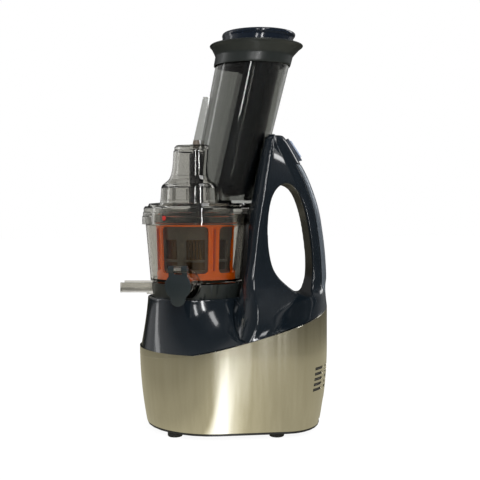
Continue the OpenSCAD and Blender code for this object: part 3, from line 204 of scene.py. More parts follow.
soft_box("box_right_of_camera", heading=15, distance=2.2, height=0.75, size=(0.12, 1.2), power=12)
soft_box("box_streak", heading=-2, distance=2.0, height=1.0, size=(0.14, 0.9), power=5)
soft_box("box_overhead", heading=30, distance=1.4, height=2.0, size=(0.5, 1.2), power=12)
soft_box("box_left", heading=-100, distance=2.0, height=0.8, size=(0.3, 1.4), power=3.5)
soft_box("box_behind_right", heading=118, distance=1.8, height=1.1, size=(0.4, 1.2), power=8)


# %% [markdown]
# ## Floor
# A wide white sheet lies under the feet. For the camera it glows white, with a little of its own shade
# mixed in, so that the juicer keeps a faint shadow where its feet touch. What gloss sees of it is another
# matter. The steel leans in towards its foot, so the floor is what it mirrors. There the floor fades with
# the distance, and one bright strip crosses it, a shade cooler than the warm rest, which draws the clean
# highlight down the steel.

# %% Floor sheet
FLOOR_REACH = 6


def new_piece(name, points, faces):
    """A piece made of points, in metres, and of the faces between them."""
    mesh = bpy.data.meshes.new(name)
    mesh.from_pydata(points, [], faces)
    piece = bpy.data.objects.new(name, mesh)
    bpy.context.scene.collection.objects.link(piece)
    return piece


corners = [(i * FLOOR_REACH, j * FLOOR_REACH, 0) for i, j in ((-1, -1), (1, -1), (1, 1), (-1, 1))]
floor = new_piece("floor", corners, [(0, 1, 2, 3)])
print("floor:", 2 * FLOOR_REACH, "m wide")


# %% [markdown]
# The sheet's material asks each ray what it is, as the world did. Matt paper is under it all. Glossy rays
# meet the fading floor with its strip, and the camera's own rays meet the white glow.

# %% Floor light
PAPER = (0.8, 0.8, 0.8, 1)
GLOW, GLOW_SHARE = 1.14, 0.82
FADE = [(0.0, 1.0), (0.5, 1.0), (0.8, 0.42), (1.6, 0.1)]
STREAK_SLANT = -0.13
STREAK = [(-0.3, 0.32), (-0.12, 0.42), (-0.05, 0.56), (-0.032, 1.9), (-0.022, 2.7), (-0.012, 1.2),
          (0.004, 0.62), (0.05, 0.46), (0.3, 0.42)]
WARM, COOL = (0.97, 0.91, 0.68, 1), (0.96, 0.98, 1.0, 1)
WARM_BELOW, COOL_ABOVE = 0.7, 1.8


def new_material(name):
    """An empty material and its tree of nodes."""
    material = bpy.data.materials.new(name)
    material.use_nodes = True
    material.node_tree.nodes.clear()
    return material, material.node_tree


material, tree = new_material("paper_floor")
path = add(tree, "ShaderNodeLightPath")
coords = add(tree, "ShaderNodeTexCoord")
split = add(tree, "ShaderNodeSeparateXYZ", links={"Vector": coords.outputs["Object"]})
share = maths(tree, "MULTIPLY", sees_white(tree, path, split.outputs["X"], 0.08), GLOW_SHARE)
away = add(tree, "ShaderNodeVectorMath", links={0: coords.outputs["Object"]}, operation="LENGTH")
near = ramp(tree, away.outputs["Value"], FADE)
slant = maths(tree, "MULTIPLY_ADD", split.outputs["X"], STREAK_SLANT, split.outputs["Y"])
lit = maths(tree, "MULTIPLY", near, ramp(tree, slant, STREAK))
strip = add(tree, "ShaderNodeMapRange", {"From Min": WARM_BELOW, "From Max": COOL_ABOVE}, {"Value": lit})
warmth = add(tree, "ShaderNodeMix", {6: WARM, 7: COOL}, {"Factor": strip.outputs[0]}, data_type="RGBA")
shine = add(tree, "ShaderNodeEmission", links={"Color": warmth.outputs[2], "Strength": lit})
matt = add(tree, "ShaderNodeBsdfDiffuse", {"Color": PAPER})
glow = add(tree, "ShaderNodeEmission", {"Color": WHITE, "Strength": GLOW})
low = blend(tree, path.outputs["Is Glossy Ray"], matt.outputs[0], shine.outputs[0])
add(tree, "ShaderNodeOutputMaterial", links={"Surface": blend(tree, share, low, glow.outputs[0])})
floor.data.materials.append(material)
print("floor light:", len(tree.nodes), "nodes")


# %% [markdown]
# ## Shared effects
# Moulded plastic is never quite even: it has a faint orange-peel ripple, and its gloss is cloudy in places.
# Many finishes share both, so they are one node group with named inputs, built once. Noise in Object
# coordinates stays on a piece when the piece moves.

# %% Moulded surface group
CLOUD_SCALE, CLOUD_LOW, CLOUD_HIGH = 22.0, 0.3, 0.7
GLOSS_LEAST, GLOSS_SPREAD = 0.88, 0.25
RIPPLE_HEIGHT = 0.0004


def new_group(kind, name, inputs, outputs):
    """An empty group of nodes with named inputs and outputs."""
    group = bpy.data.node_groups.new(name, kind)
    for way, sockets in (("INPUT", inputs), ("OUTPUT", outputs)):
        for title, holds in sockets.items():
            group.interface.new_socket(title, in_out=way, socket_type="NodeSocket" + holds)
    given = group.nodes.new("NodeGroupInput")
    result = group.nodes.new("NodeGroupOutput")
    return group, given.outputs, result.inputs


moulded, given, result = new_group(
    "ShaderNodeTree", "moulded_surface",
    {"Color": "Color", "Worn Color": "Color", "Roughness": "Float",
     "Ripple": "Float", "Ripple Size": "Float"},
    {"Color": "Color", "Roughness": "Float", "Normal": "Vector"})
coords = add(moulded, "ShaderNodeTexCoord").outputs["Object"]
ripple = add(moulded, "ShaderNodeTexNoise", {"Detail": 2.0},
             {"Vector": coords, "Scale": given["Ripple Size"]})
cloud = add(moulded, "ShaderNodeTexNoise", {"Scale": CLOUD_SCALE, "Detail": 4.0}, {"Vector": coords})
tone = add(moulded, "ShaderNodeMapRange", {"From Min": CLOUD_LOW, "From Max": CLOUD_HIGH},
           {"Value": cloud.outputs["Fac"]}).outputs[0]
colour = add(moulded, "ShaderNodeMix", links={"Factor": tone, 6: given["Color"], 7: given["Worn Color"]},
             data_type="RGBA")
wear = maths(moulded, "ADD", maths(moulded, "MULTIPLY", tone, GLOSS_SPREAD), GLOSS_LEAST)
bump = add(moulded, "ShaderNodeBump", {"Distance": RIPPLE_HEIGHT},
           {"Height": ripple.outputs["Fac"], "Strength": given["Ripple"]})
moulded.links.new(colour.outputs[2], result["Color"])
moulded.links.new(maths(moulded, "MULTIPLY", given["Roughness"], wear), result["Roughness"])
moulded.links.new(bump.outputs[0], result["Normal"])
print("moulded surface:", len(moulded.nodes), "nodes")


# %% [markdown]
# ## Dark mouldings
# Most of what shows is dark plastic, yet no two are alike: the housing is a navy black with a lacquer-like
# gloss, the collar and the cap are satin, the feet are rubber. Each finish names its colour, the colour of
# its cloudier places, its roughness and its ripple. Colours are given as a screen shows them, and turned
# into light's own values.

# %% Dark mouldings
def linear(*rgb):
    """A screen colour, 0 to 255, in the linear values that light uses."""
    out = []
    for v in rgb:
        v = v / 255
        out.append(v / 12.92 if v <= 0.04045 else ((v + 0.055) / 1.055) ** 2.4)
    return (*out, 1.0)


def plastic(name, colour, worn, roughness, ripple, ripple_size=400.0, **shader):
    """A moulded plastic: its colour, the colour of its cloudier places, its roughness and its fine ripple."""
    material, tree = new_material(name)
    group = add(tree, "ShaderNodeGroup", node_tree=moulded)
    for key, value in (("Color", linear(*colour)), ("Worn Color", linear(*worn)), ("Roughness", roughness),
                       ("Ripple", ripple), ("Ripple Size", ripple_size)):
        group.inputs[key].default_value = value
    skin = add(tree, "ShaderNodeBsdfPrincipled", shader, {"Base Color": group.outputs["Color"],
               "Roughness": group.outputs["Roughness"], "Normal": group.outputs["Normal"]})
    add(tree, "ShaderNodeOutputMaterial", links={"Surface": skin.outputs[0]})
    return material


finish = {
    "housing": plastic("navy_black_gloss", (19, 26, 32), (23, 30, 36), roughness=0.15, ripple=0.006,
                       **{"Coat Weight": 0.3, "Coat Roughness": 0.04}),
    "black_plastic": plastic("matt_black_plastic", (26, 26, 27), (36, 36, 37), roughness=0.5, ripple=0.2),
    "dark_plastic": plastic("satin_dark_plastic", (36, 40, 39), (41, 45, 43), roughness=0.3, ripple=0.06),
    "cap_plastic": plastic("satin_cap_plastic", (36, 43, 45), (42, 49, 51), roughness=0.24, ripple=0.05,
                           **{"Coat Weight": 0.3}),
    "pusher_plastic": plastic("blue_black_plastic", (22, 30, 41), (26, 34, 45), roughness=0.13, ripple=0.01),
    "auger_plastic": plastic("deep_navy_plastic", (14, 17, 24), (17, 20, 27), roughness=0.1, ripple=0.01),
    "switch_frame": plastic("satin_switch_frame", (70, 78, 92), (76, 84, 98), roughness=0.3, ripple=0.03),
    "rubber": plastic("foot_rubber", (24, 24, 24), (34, 33, 32), roughness=0.7, ripple=0.3)}
print("dark mouldings:", len(finish))

# %% [markdown]
# ## Light and coloured mouldings
# The wiper cage is the one strong colour. Little light reaches it through the smoky bowl, so it gets a weak
# glow of its own. The strainer is a warm grey, the gears are nylon, and the seals are milky silicone, which
# lets a little light seep in. Cast alloy and zinc plate have no grain, so the same recipe serves, made
# metallic.

# %% Light and coloured mouldings
orange = (255, 112, 6)
finish |= {
    "orange_plastic": plastic("orange_plastic", orange, (255, 102, 4), roughness=0.24, ripple=0.03,
                              **{"Emission Color": linear(*orange), "Emission Strength": 0.2}),
    "orange_silicone": plastic("orange_silicone", (236, 92, 30), (224, 84, 28), roughness=0.45, ripple=0.1),
    "mark_red": plastic("printed_red", (196, 44, 34), (186, 40, 32), roughness=0.4, ripple=0.05),
    "rocker": plastic("pale_rocker", (168, 180, 202), (158, 171, 194), roughness=0.25, ripple=0.03),
    "grey_plastic": plastic("strainer_grey", (112, 104, 90), (98, 90, 76), roughness=0.3, ripple=0.05),
    "bush_plastic": plastic("bush_plastic", (128, 116, 104), (112, 102, 92), roughness=0.4, ripple=0.1),
    "white_nylon": plastic("gear_nylon", (226, 223, 212), (214, 210, 198), roughness=0.4, ripple=0.1),
    "cream_plastic": plastic("capacitor_case", (222, 218, 204), (208, 203, 186), roughness=0.35, ripple=0.1),
    "circuit_board": plastic("board_laminate", (30, 92, 58), (38, 104, 66), roughness=0.35, ripple=0.1),
    "silicone": plastic("milky_silicone", (206, 204, 198), (194, 192, 186), roughness=0.45, ripple=0.1,
                        **{"Subsurface Weight": 0.2}),
    "silver_trim": plastic("grey_trim", (96, 104, 112), (104, 111, 118), roughness=0.3, ripple=0.05,
                           **{"Metallic": 0.35}),
    "zinc": plastic("zinc_plate", (176, 178, 182), (150, 152, 156), roughness=0.32, ripple=0.1,
                    **{"Metallic": 1.0}),
    "die_cast": plastic("die_cast_alloy", (158, 160, 164), (138, 140, 144), roughness=0.42, ripple=0.3,
                        ripple_size=900.0, **{"Metallic": 1.0})}
print("finishes so far:", len(finish))


# %% [markdown]
# ## Brushed steel
# Brushing leaves fine upright scratches, so light spreads sideways into broad upright bands. A noise that
# is stretched along Z gives the scratches, as bump and as small changes of roughness. The same recipe with
# the noise squeezed along Z gives the stacked sheets of the motor and the turned steel of the shaft.

# %% Brushed steel
SCRATCH_DEPTH = 0.0002
SMOOTHER, ROUGHER = 0.05, 0.06


def brushed(name, colour, light, roughness, stretch, strength=0.25):
    """A scratched metal: its colour between and along the scratches, and their stretch on X, Y and Z."""
    material, tree = new_material(name)
    coords = add(tree, "ShaderNodeTexCoord")
    place = add(tree, "ShaderNodeMapping", {"Scale": stretch}, {"Vector": coords.outputs["Object"]})
    lines = add(tree, "ShaderNodeTexNoise", {"Scale": 1.0, "Detail": 3.0, "Roughness": 0.6},
                {"Vector": place.outputs[0]}).outputs["Fac"]
    tone = add(tree, "ShaderNodeMix", {6: linear(*colour), 7: linear(*light)}, {"Factor": lines},
               data_type="RGBA")
    rough = add(tree, "ShaderNodeMapRange", {"From Min": 0.3, "From Max": 0.7, "To Min": roughness - SMOOTHER,
                "To Max": roughness + ROUGHER}, {"Value": lines})
    bump = add(tree, "ShaderNodeBump", {"Strength": strength, "Distance": SCRATCH_DEPTH}, {"Height": lines})
    skin = add(tree, "ShaderNodeBsdfPrincipled", {"Metallic": 1.0},
               {"Base Color": tone.outputs[2], "Roughness": rough.outputs[0], "Normal": bump.outputs[0]})
    add(tree, "ShaderNodeOutputMaterial", links={"Surface": skin.outputs[0]})
    return material


finish |= {
    "steel": brushed("warm_brushed_steel", (203, 198, 182), (228, 224, 209), 0.2, (130, 130, 1.5), 0.03),
    # lighter steel for the rolled lip: a painted highlight along the seam
    "lip_highlight_steel": brushed("bright_steel_edge", (226, 222, 206), (240, 238, 228), 0.16, (200, 200, 200)),
    "laminations": brushed("stator_sheets", (110, 104, 98), (140, 132, 124), 0.4, (9, 9, 1500)),
    "shaft_steel": brushed("ground_steel", (190, 190, 192), (214, 214, 216), 0.22, (30, 30, 1800)),
    "sieve_steel": brushed("sieve_sheet", (84, 62, 36), (104, 80, 50), 0.36, (300, 300, 300))}
print("finishes so far:", len(finish))


# %% [markdown]
# ## Smoky clear plastic
# The bowl, the lid and the feed tube are clear plastic with a smoky tint. Clear plastic bends light as
# glass does, so its real wall thickness matters more than its colour: the dark edges come from light that
# is bent away. The tube looks the darkest of the three, so each has a tint of its own.

# %% Smoky clear plastic
CLEAR_ROUGHNESS, CLEAR_IOR = 0.03, 1.45
WAVE_SCALE, WAVE_STRENGTH, WAVE_HEIGHT = 60.0, 0.02, 0.0005


def smoky(name, tint):
    """A clear plastic with a tint and a surface that is never quite flat."""
    material, tree = new_material(name)
    coords = add(tree, "ShaderNodeTexCoord").outputs["Object"]
    wave = add(tree, "ShaderNodeTexNoise", {"Scale": WAVE_SCALE, "Detail": 3.0}, {"Vector": coords})
    bump = add(tree, "ShaderNodeBump", {"Strength": WAVE_STRENGTH, "Distance": WAVE_HEIGHT},
               {"Height": wave.outputs["Fac"]})
    skin = add(tree, "ShaderNodeBsdfPrincipled", {"Base Color": linear(*tint), "Roughness": CLEAR_ROUGHNESS,
               "IOR": CLEAR_IOR, "Transmission Weight": 1.0}, {"Normal": bump.outputs[0]})
    add(tree, "ShaderNodeOutputMaterial", links={"Surface": skin.outputs[0]})
    return material


finish |= {
    "smoky_clear": smoky("smoky_clear_plastic", (200, 198, 191)),
    "smoky_lid": smoky("smoky_lid_plastic", (193, 192, 187)),
    "smoky_tube": smoky("smoky_tube_plastic", (156, 157, 153))}
print("finishes:", len(finish))

# %% [markdown]
# ## Finishes on the solids
# Each solid says in the frame's record what it is made of, so one loop gives them all their finish. Only
# the lid and its tube differ from the bowl, whose clear plastic they share by name.

# %% Finishes on the solids
OWN_TINT = {"feed_tube": "smoky_tube", "bowl_lid": "smoky_lid"}
slots = {entry["node"]: entry["material_slot"] for entry in frame["record"]["subparts"]}
for name, solid in solids.items():
    solid.data.materials.clear()
    solid.data.materials.append(finish[OWN_TINT.get(name, slots[name])])
print("painted:", len(solids), "solids")


# %% [markdown]
# ## Outlines of the housing
# The gloss housing flows from an oval base into a slim loop handle. Such a form is a stack of level
# outlines, each a little different from the last, joined into a skin: a loft. Every outline is drawn by one
# rule, a round tail, a round nose and two straight sides between them.

# %% Outlines
SIDE_STEPS = 8


def mixed(a, b, t):
    """A number on the way from a to b."""
    return a + (b - a) * t


def bulged(value, power):
    """Pushes a sine or a cosine outwards: power 2 keeps an ellipse, more makes it squarer."""
    return math.copysign(abs(value) ** (2 / power), value)


def outline(front, back, nose_half, tail_half, nose, tail, power=2.0, points=44):
    """Closed outline in millimetres, with a rounded tail towards +Y and a rounded nose towards -Y."""
    tail_end, nose_end = (tail_half, back - tail, tail), (nose_half, front + nose, nose)
    out = []
    for start, side, near, far in ((0, -1, tail_end, nose_end), (180, 1, nose_end, tail_end)):
        half, middle, reach = near
        for i in range(points + 1):
            a = math.radians(start + 180 * i / points)
            out.append((half * bulged(math.cos(a), power), middle + reach * bulged(math.sin(a), power)))
        for step in range(1, SIDE_STEPS):
            t = step / SIDE_STEPS
            out.append((mixed(side * half, side * far[0], t), mixed(middle, far[1], t)))
    return np.array(out)


print("points in an outline:", len(outline(-1, 1, 1, 1, 1, 1)))


# %% [markdown]
# Only a few outlines are listed. A smooth curve through each of their numbers gives as many
# in-between ones as the gloss needs, since a coarse skin would show as facets. Each row says how high it
# lies, from 0 at the seam to 1 at the top, where its front is, how far its back is tucked in, and how much
# of the base's width its cheeks and its tail still have.

# %% Levels of the tower
LEVELS = 110
tower_rows = [
    (0, 11, 0, 1, 1), (0.039, 18, -0.3, 0.95, 0.71), (0.09, 24, -0.8, 0.84, 0.37),
    (0.148, 30, -1.4, 0.66, 0.16), (0.207, 35, -1.9, 0.44, 0.07), (0.257, 39.5, -2.2, 0.24, 0.03),
    (0.304, 42.5, -2.1, 0.12, 0.01), (0.358, 45.5, -1.6, 0.05, 0), (0.423, 48, -0.6, 0.02, 0),
    (0.532, 51.5, 2.4, 0, 0), (0.641, 55.5, 6.9, 0, 0), (0.738, 59.5, 14.1, -0.01, 0),
    (0.816, 62.5, 21.8, -0.04, 0), (0.882, 65.5, 30.4, -0.08, 0), (0.939, 68, 37.9, -0.15, -0.01),
    (0.98, 70.5, 44.4, -0.24, -0.03), (1, 73.5, 48.4, -0.34, -0.08)]


def smooth_rows(rows, count):
    """Runs a smooth curve through rows of numbers; the first of each row is where it lies, from 0 to 1."""
    rows = np.array(rows, float)
    places = rows[:, 0]
    slopes = np.gradient(rows, places, axis=0)
    out = []
    for t in np.linspace(places[0], places[-1], count):
        i = min(int(np.searchsorted(places, t, side="right")) - 1, len(places) - 2)
        h = places[i + 1] - places[i]
        s = (t - places[i]) / h
        out.append((2 * s**3 - 3 * s**2 + 1) * rows[i] + (s**3 - 2 * s**2 + s) * h * slopes[i]
                   + (3 * s**2 - 2 * s**3) * rows[i + 1] + (s**3 - s**2) * h * slopes[i + 1])
    return np.array(out)


tower_curve = smooth_rows(tower_rows, LEVELS)
print("levels:", len(tower_rows), "drawn,", len(tower_curve), "made")


# %% [markdown]
# ## Seam and skin
# The seam is the slanting line where gloss meets steel. It rises towards the back and sweeps up a little
# more at the very end. A loft needs its rings of points and the faces between them. Every face joins two
# points of one ring to two points of the next, so the list of faces follows from how many there are.

# %% Seam and skin
BACK = 146.4
SEAM_Z, SEAM_TILT, SEAM_SWEEP = 92.0, 11.4, 14


def seam(y):
    """Rise of the seam between steel and housing at a distance behind the drive axis."""
    return math.tan(math.radians(SEAM_TILT)) * y + SEAM_SWEEP * (y / BACK) ** 2


def placed(x, y, z):
    """A point counted from the drive axis in millimetres, as the frame's metres."""
    return x / 1000, y / 1000 + DRIVE_Y, z / 1000


def skin_faces(count, rows, closed):
    """Four-sided faces between neighbouring rings of points, and from the last to the first if closed."""
    faces = []
    for j in range(rows if closed else rows - 1):
        here, there = j * count, (j + 1) % rows * count
        for i in range(count):
            after = (i + 1) % count
            faces.append((here + i, here + after, there + after, there + i))
    return faces


def loft(name, rings, drop=0.0):
    """A solid skin through rings of points in millimetres, with a straight foot below if it drops."""
    if drop:
        rings = [[(x, y, z - drop) for x, y, z in rings[0]]] + rings
    count, rows = len(rings[0]), len(rings)
    ends = [tuple(reversed(range(count))), tuple(range((rows - 1) * count, rows * count))]
    points = [placed(*p) for ring in rings for p in ring]
    return new_piece(name, points, skin_faces(count, rows, False) + ends)


print("seam rises", round(seam(BACK) - seam(0), 1), "mm to the back")


# %% [markdown]
# ## Tower of the housing
# The tower stands on the seam. It could be modelled face by face, but its form follows a rule, so it is
# lofted as one solid block, and everything hollow is cut out of it afterwards.

# %% Tower
TOWER_TOP = 324.6
HALF_BASE, HALF_CHEEK, HALF_GRIP = 87.0, 44.0, 20.5
FOOT_NOSE, CHEEK_NOSE = 38, 13
BASE_TAIL, GRIP_TAIL = 52, 19
MOST_ROUND = 0.48
CHEEK_SQUARE, BASE_SQUARE = 2.6, 2
FOOT_DROP = 6


def tower(name, inset=0.0, drop=0.0):
    """The block of the tower: as wide as the base along the seam, as slim as cheeks and grip above."""
    rings = []
    for share, front, tuck, cheeks, tail in tower_curve:
        spread = max(0.0, cheeks)
        depth = BACK - tuck - front - 2 * inset
        flat = outline(front + inset, BACK - tuck - inset,
                       mixed(HALF_CHEEK, HALF_BASE, cheeks) - inset,
                       mixed(HALF_GRIP, HALF_BASE, tail) - inset,
                       mixed(min(CHEEK_NOSE, MOST_ROUND * depth), FOOT_NOSE, spread),
                       mixed(min(GRIP_TAIL, MOST_ROUND * depth), BASE_TAIL, spread),
                       mixed(CHEEK_SQUARE, BASE_SQUARE, spread))
        height = mixed(SEAM_Z, TOWER_TOP, share)
        rings.append([(x, y, height + spread * seam(y)) for x, y in flat])
    return loft(name, rings, drop)


housing = tower("housing_shell", drop=FOOT_DROP)
print("tower:", len(housing.data.polygons), "faces")


# %% [markdown]
# ## Saddle
# The saddle under the bowl is its own moulding, with a crease where it meets the tower. Its foot is the
# oval of the base, and it shrinks to a round top while it rises. A copy of it, a hair larger, will be cut
# out of the tower.

# %% Saddle
PEDESTAL_Z, PEDESTAL_R = 144.6, 54
PEDESTAL_BACK, PEDESTAL_TAIL = 70, 30
BASE_FRONT, BASE_NOSE = 63, 80
FRONT_EASE, SIDE_EASE = 1.4, 1.8
ROUND_SLACK = 0.3


def pedestal_block(name, inset=0.0, drop=0.0):
    """The block of the saddle, drawn in all round by the inset."""
    radius = PEDESTAL_R - inset
    rings = []
    for q in np.linspace(0, 1, 29):
        near, wide = (1 - q) ** FRONT_EASE, (1 - q) ** SIDE_EASE
        half = mixed(radius, HALF_BASE - inset, wide)
        flat = outline(-mixed(radius, BASE_FRONT - inset, near), mixed(radius, PEDESTAL_BACK - inset, wide),
                       half, half,
                       mixed(radius - ROUND_SLACK, BASE_NOSE - inset, wide),
                       mixed(radius - ROUND_SLACK, PEDESTAL_TAIL - inset, wide))
        rings.append([(x, y, mixed(SEAM_Z + seam(y), PEDESTAL_Z - inset, q)) for x, y in flat])
    return loft(name, rings, drop)


pedestal = pedestal_block("pedestal_shell", drop=FOOT_DROP)
seat = pedestal_block("seat", -0.3, 1)
print("saddle:", len(pedestal.data.polygons), "faces")


# %% [markdown]
# ## Hand hole
# The loop of the handle is what is left round a hole. Ten points mark the edge of the hole, seen from the
# side: how far each is from the back and how high. A smooth path through them is stretched across into a
# block to cut with.

# %% Hand hole
hole_marks = [(53, 0.69), (36, 0.655), (24, 0.48), (17.5, 0.21), (20, 0.045), (25.5, 0.0), (47, 0.06),
              (65.4, 0.18), (71.4, 0.395), (67, 0.6)]
MARK_STEPS, HOLE_HALF = 12, 200


def smooth_path(points, steps):
    """A closed path that runs smoothly through all its points."""
    out = []
    for i in range(len(points)):
        a, b, c, d = (np.array(points[(i + k) % len(points)], float) for k in (-1, 0, 1, 2))
        bend = 2 * a - 5 * b + 4 * c - d
        twist = 3 * b - a - 3 * c + d
        for k in range(steps):
            t = k / steps
            out.append(0.5 * (2 * b + (c - a) * t + bend * t * t + twist * t**3))
    return out


def outwards(piece):
    """Joins points that coincide and turns all faces to the outside."""
    work = bmesh.new()
    work.from_mesh(piece.data)
    bmesh.ops.remove_doubles(work, verts=work.verts, dist=1e-7)
    bmesh.ops.recalc_face_normals(work, faces=work.faces)
    work.to_mesh(piece.data)
    work.free()


def prism(name, points, half):
    """A block from a side outline of (y, z) in millimetres, from -half to half along X."""
    count = len(points)
    faces = [tuple(range(count)), tuple(reversed(range(count, 2 * count)))]
    faces += [(i, count + i, count + (i + 1) % count, (i + 1) % count) for i in range(count)]
    piece = new_piece(name, [placed(side * half, y, z) for side in (-1, 1) for y, z in points], faces)
    outwards(piece)
    return piece


hand_hole = [(BACK - back, mixed(PEDESTAL_Z, TOWER_TOP, share))
             for back, share in smooth_path(hole_marks, MARK_STEPS)]
hole = prism("hole", hand_hole, HOLE_HALF)
print("hand hole:", len(hand_hole), "points")


# %% [markdown]
# ## Cradle for the bowl and the tube
# The front of the tower is hollowed to hug the round bowl, and higher up the leaning feed tube. Both
# hollows are plain rods and cones, a hair wider than what goes into them. The tube's axis leans back, so
# its distance behind the drive axis grows with the height.

# %% Cradle
LEAN = math.radians(12.5)
DOME_Z, MOUTH_Z, TUBE_BACK = 312.6, 409.6, 43.3
TUBE_LOW_R, TUBE_HIGH_R, TUBE_ROOM = 38, 41, 2.2
CRADLE_R = 62.7


def rod(name, low, high, bottom, top, segments=160):
    """A cone or cylinder from one point to another, both in millimetres, with a radius at each end."""
    low, high = Vector(low), Vector(high)
    piece = new_piece(name, [], [])
    work = bmesh.new()
    bmesh.ops.create_cone(work, cap_ends=True, segments=segments, radius1=bottom / 1000, radius2=top / 1000,
                          depth=(high - low).length / 1000)
    turn = (high - low).to_track_quat("Z", "Y").to_matrix().to_4x4()
    work.transform(Matrix.Translation((low + high) / 2000 + axis_foot) @ turn)
    work.to_mesh(piece.data)
    work.free()
    outwards(piece)
    return piece


def on_tube(height):
    """Distance of the feed tube's axis behind the drive axis."""
    return TUBE_BACK + (height - DOME_Z) * math.tan(LEAN)


def tube_cone(name, extra, low, high):
    """The feed tube's outer cone between two heights, with some extra radius."""
    slope = (TUBE_HIGH_R - TUBE_LOW_R) * math.cos(LEAN) / (MOUTH_Z - DOME_Z)
    a, b = (low - DOME_Z) / math.cos(LEAN), (high - DOME_Z) / math.cos(LEAN)
    return rod(name, (0, on_tube(low), low), (0, on_tube(high), high),
               TUBE_LOW_R + slope * a + extra, TUBE_LOW_R + slope * b + extra)


cradle = rod("cradle", (0, 0, PEDESTAL_Z), (0, 0, 500), CRADLE_R, CRADLE_R)
tube = tube_cone("tube", TUBE_ROOM, 200, 430)
print("tube leans", round(math.degrees(LEAN), 1), "degrees")


# %% [markdown]
# ## Pocket of the switch
# The rocker sits square to the slope at the top of the grip, so its pocket and later its cap are blocks in
# one tilted plane. The eight corners of such a block are named in one order, and one list of faces serves
# every block.

# %% Switch pocket
SWITCH_IN, SWITCH_DOWN, SWITCH_TILT = 35.7, 16.2, 33
POCKET_LONG, POCKET_WIDE = 27.4, 17
CORNERS = ((-1, -1), (1, -1), (1, 1), (-1, 1))
BLOCK_FACES = [(3, 2, 1, 0), (4, 5, 6, 7), (0, 1, 5, 4), (1, 2, 6, 5), (2, 3, 7, 6), (3, 0, 4, 7)]


def switch_block(name, length, width, low, high):
    """A block square to the sloping plane of the switch."""
    turn = Matrix.Translation(Vector((0, BACK - SWITCH_IN, TOWER_TOP - SWITCH_DOWN)))
    turn = turn @ Matrix.Rotation(math.radians(SWITCH_TILT - 90), 4, "X")
    corners = [turn @ Vector((i * width / 2, j * length / 2, z)) for z in (low, high) for i, j in CORNERS]
    return new_piece(name, [placed(*corner) for corner in corners], BLOCK_FACES)


pocket = switch_block("pocket", POCKET_LONG, POCKET_WIDE, -13, 20)
print("pocket:", POCKET_LONG, "by", POCKET_WIDE, "mm")


# %% [markdown]
# ## Cutting
# A boolean takes one block away from another, as a mill does. Its modifier is baked at once, so that the
# next cut starts from a plain mesh. All five hollows of the tower are cut in one go, and so is the room
# inside the saddle.

# %% Cutting
SADDLE_WALL, SHAFT_ROOM = 3, 9
SHAFT_FROM, SHAFT_TO = 120, 170


def settled(piece):
    """Bakes the modifiers of a piece into its own mesh."""
    depsgraph = bpy.context.evaluated_depsgraph_get()
    mesh = bpy.data.meshes.new_from_object(piece.evaluated_get(depsgraph))
    piece.modifiers.clear()
    old = piece.data
    piece.data = mesh
    bpy.data.meshes.remove(old)
    return piece


def carved(piece, *cutters, operation="DIFFERENCE"):
    """Cuts each cutter out of a piece; other operations keep what lies in it or add it."""
    for cutter in cutters:
        knife = piece.modifiers.new("cut", "BOOLEAN")
        knife.object = cutter
        knife.operation = operation
        knife.solver = "MANIFOLD"
        settled(piece)
        bpy.data.objects.remove(cutter)
    return piece


carved(housing, hole, seat, cradle, tube, pocket)
shaft_hole = rod("shaft_hole", (0, 0, SHAFT_FROM), (0, 0, SHAFT_TO), SHAFT_ROOM, SHAFT_ROOM, 64)
carved(pedestal, pedestal_block("inside", SADDLE_WALL, 8), shaft_hole)
print("cut tower:", len(housing.data.polygons), "faces")


# %% [markdown]
# A grey trim wraps the back of the grip, in a shallow channel of its own. The channel is the zone behind
# the grip minus a slimmer copy of the tower, so its floor runs evenly along the curve of the back.

# %% Channel for the trim
TRIM_SHARE, TRIM_LOW = 0.86, SEAM_Z + seam(BACK) + 4
TRIM_HIGH = SEAM_Z + TRIM_SHARE * (TOWER_TOP - SEAM_Z)
CHANNEL_DEPTH, CHANNEL_HALF, CHANNEL_FLOOR = 8.5, 19, 2.4
FAR_BEHIND = 400


def back_at(height):
    """Where the back of the tower is at a height."""
    heights = [mixed(SEAM_Z, TOWER_TOP, r[0]) + max(0, r[3]) * seam(BACK - r[2]) for r in tower_curve]
    return BACK - np.interp(height, heights, [r[2] for r in tower_curve])


def trim_zone(name, depth, half, low=TRIM_LOW, high=TRIM_HIGH):
    """All that lies behind a line which follows the back of the tower at a depth."""
    edge = [(back_at(z) - depth, z) for z in np.linspace(low, high, 40)]
    return prism(name, [(FAR_BEHIND, low), *edge, (FAR_BEHIND, high)], half)


channel = trim_zone("channel", CHANNEL_DEPTH, CHANNEL_HALF)
carved(channel, tower("core", CHANNEL_FLOOR))
carved(housing, channel)
print("trim channel:", round(TRIM_HIGH - TRIM_LOW, 1), "mm high")


# %% [markdown]
# ## Soft edges
# A real mould has no knife edges. Softening gives a block an even skin of small quads and then smooths it a
# few times, which eases every edge a little. Both blocks pass through it.

# %% Softening
def smooth_shaded(piece):
    """Shades all faces of a piece as one smooth surface."""
    piece.data.polygons.foreach_set("use_smooth", [True] * len(piece.data.polygons))
    return piece


def softened(piece, grain, rounds):
    """Rounds the edges of a moulding: an even skin of small quads, then a few rounds of smoothing."""
    even = piece.modifiers.new("even", "REMESH")
    even.mode = "VOXEL"
    even.voxel_size = grain / 1000
    settled(piece)
    ease = piece.modifiers.new("ease", "SMOOTH")
    ease.factor = 0.5
    ease.iterations = rounds
    return smooth_shaded(settled(piece))


def creased(piece, degrees=32):
    """Smooth shading with every edge sharper than an angle kept crisp."""
    smooth_shaded(piece).data.set_sharp_from_angle(angle=math.radians(degrees))
    return piece


softened(housing, grain=1.2, rounds=9)
softened(pedestal, grain=1.1, rounds=4)
print("soft tower:", len(housing.data.polygons), "faces")


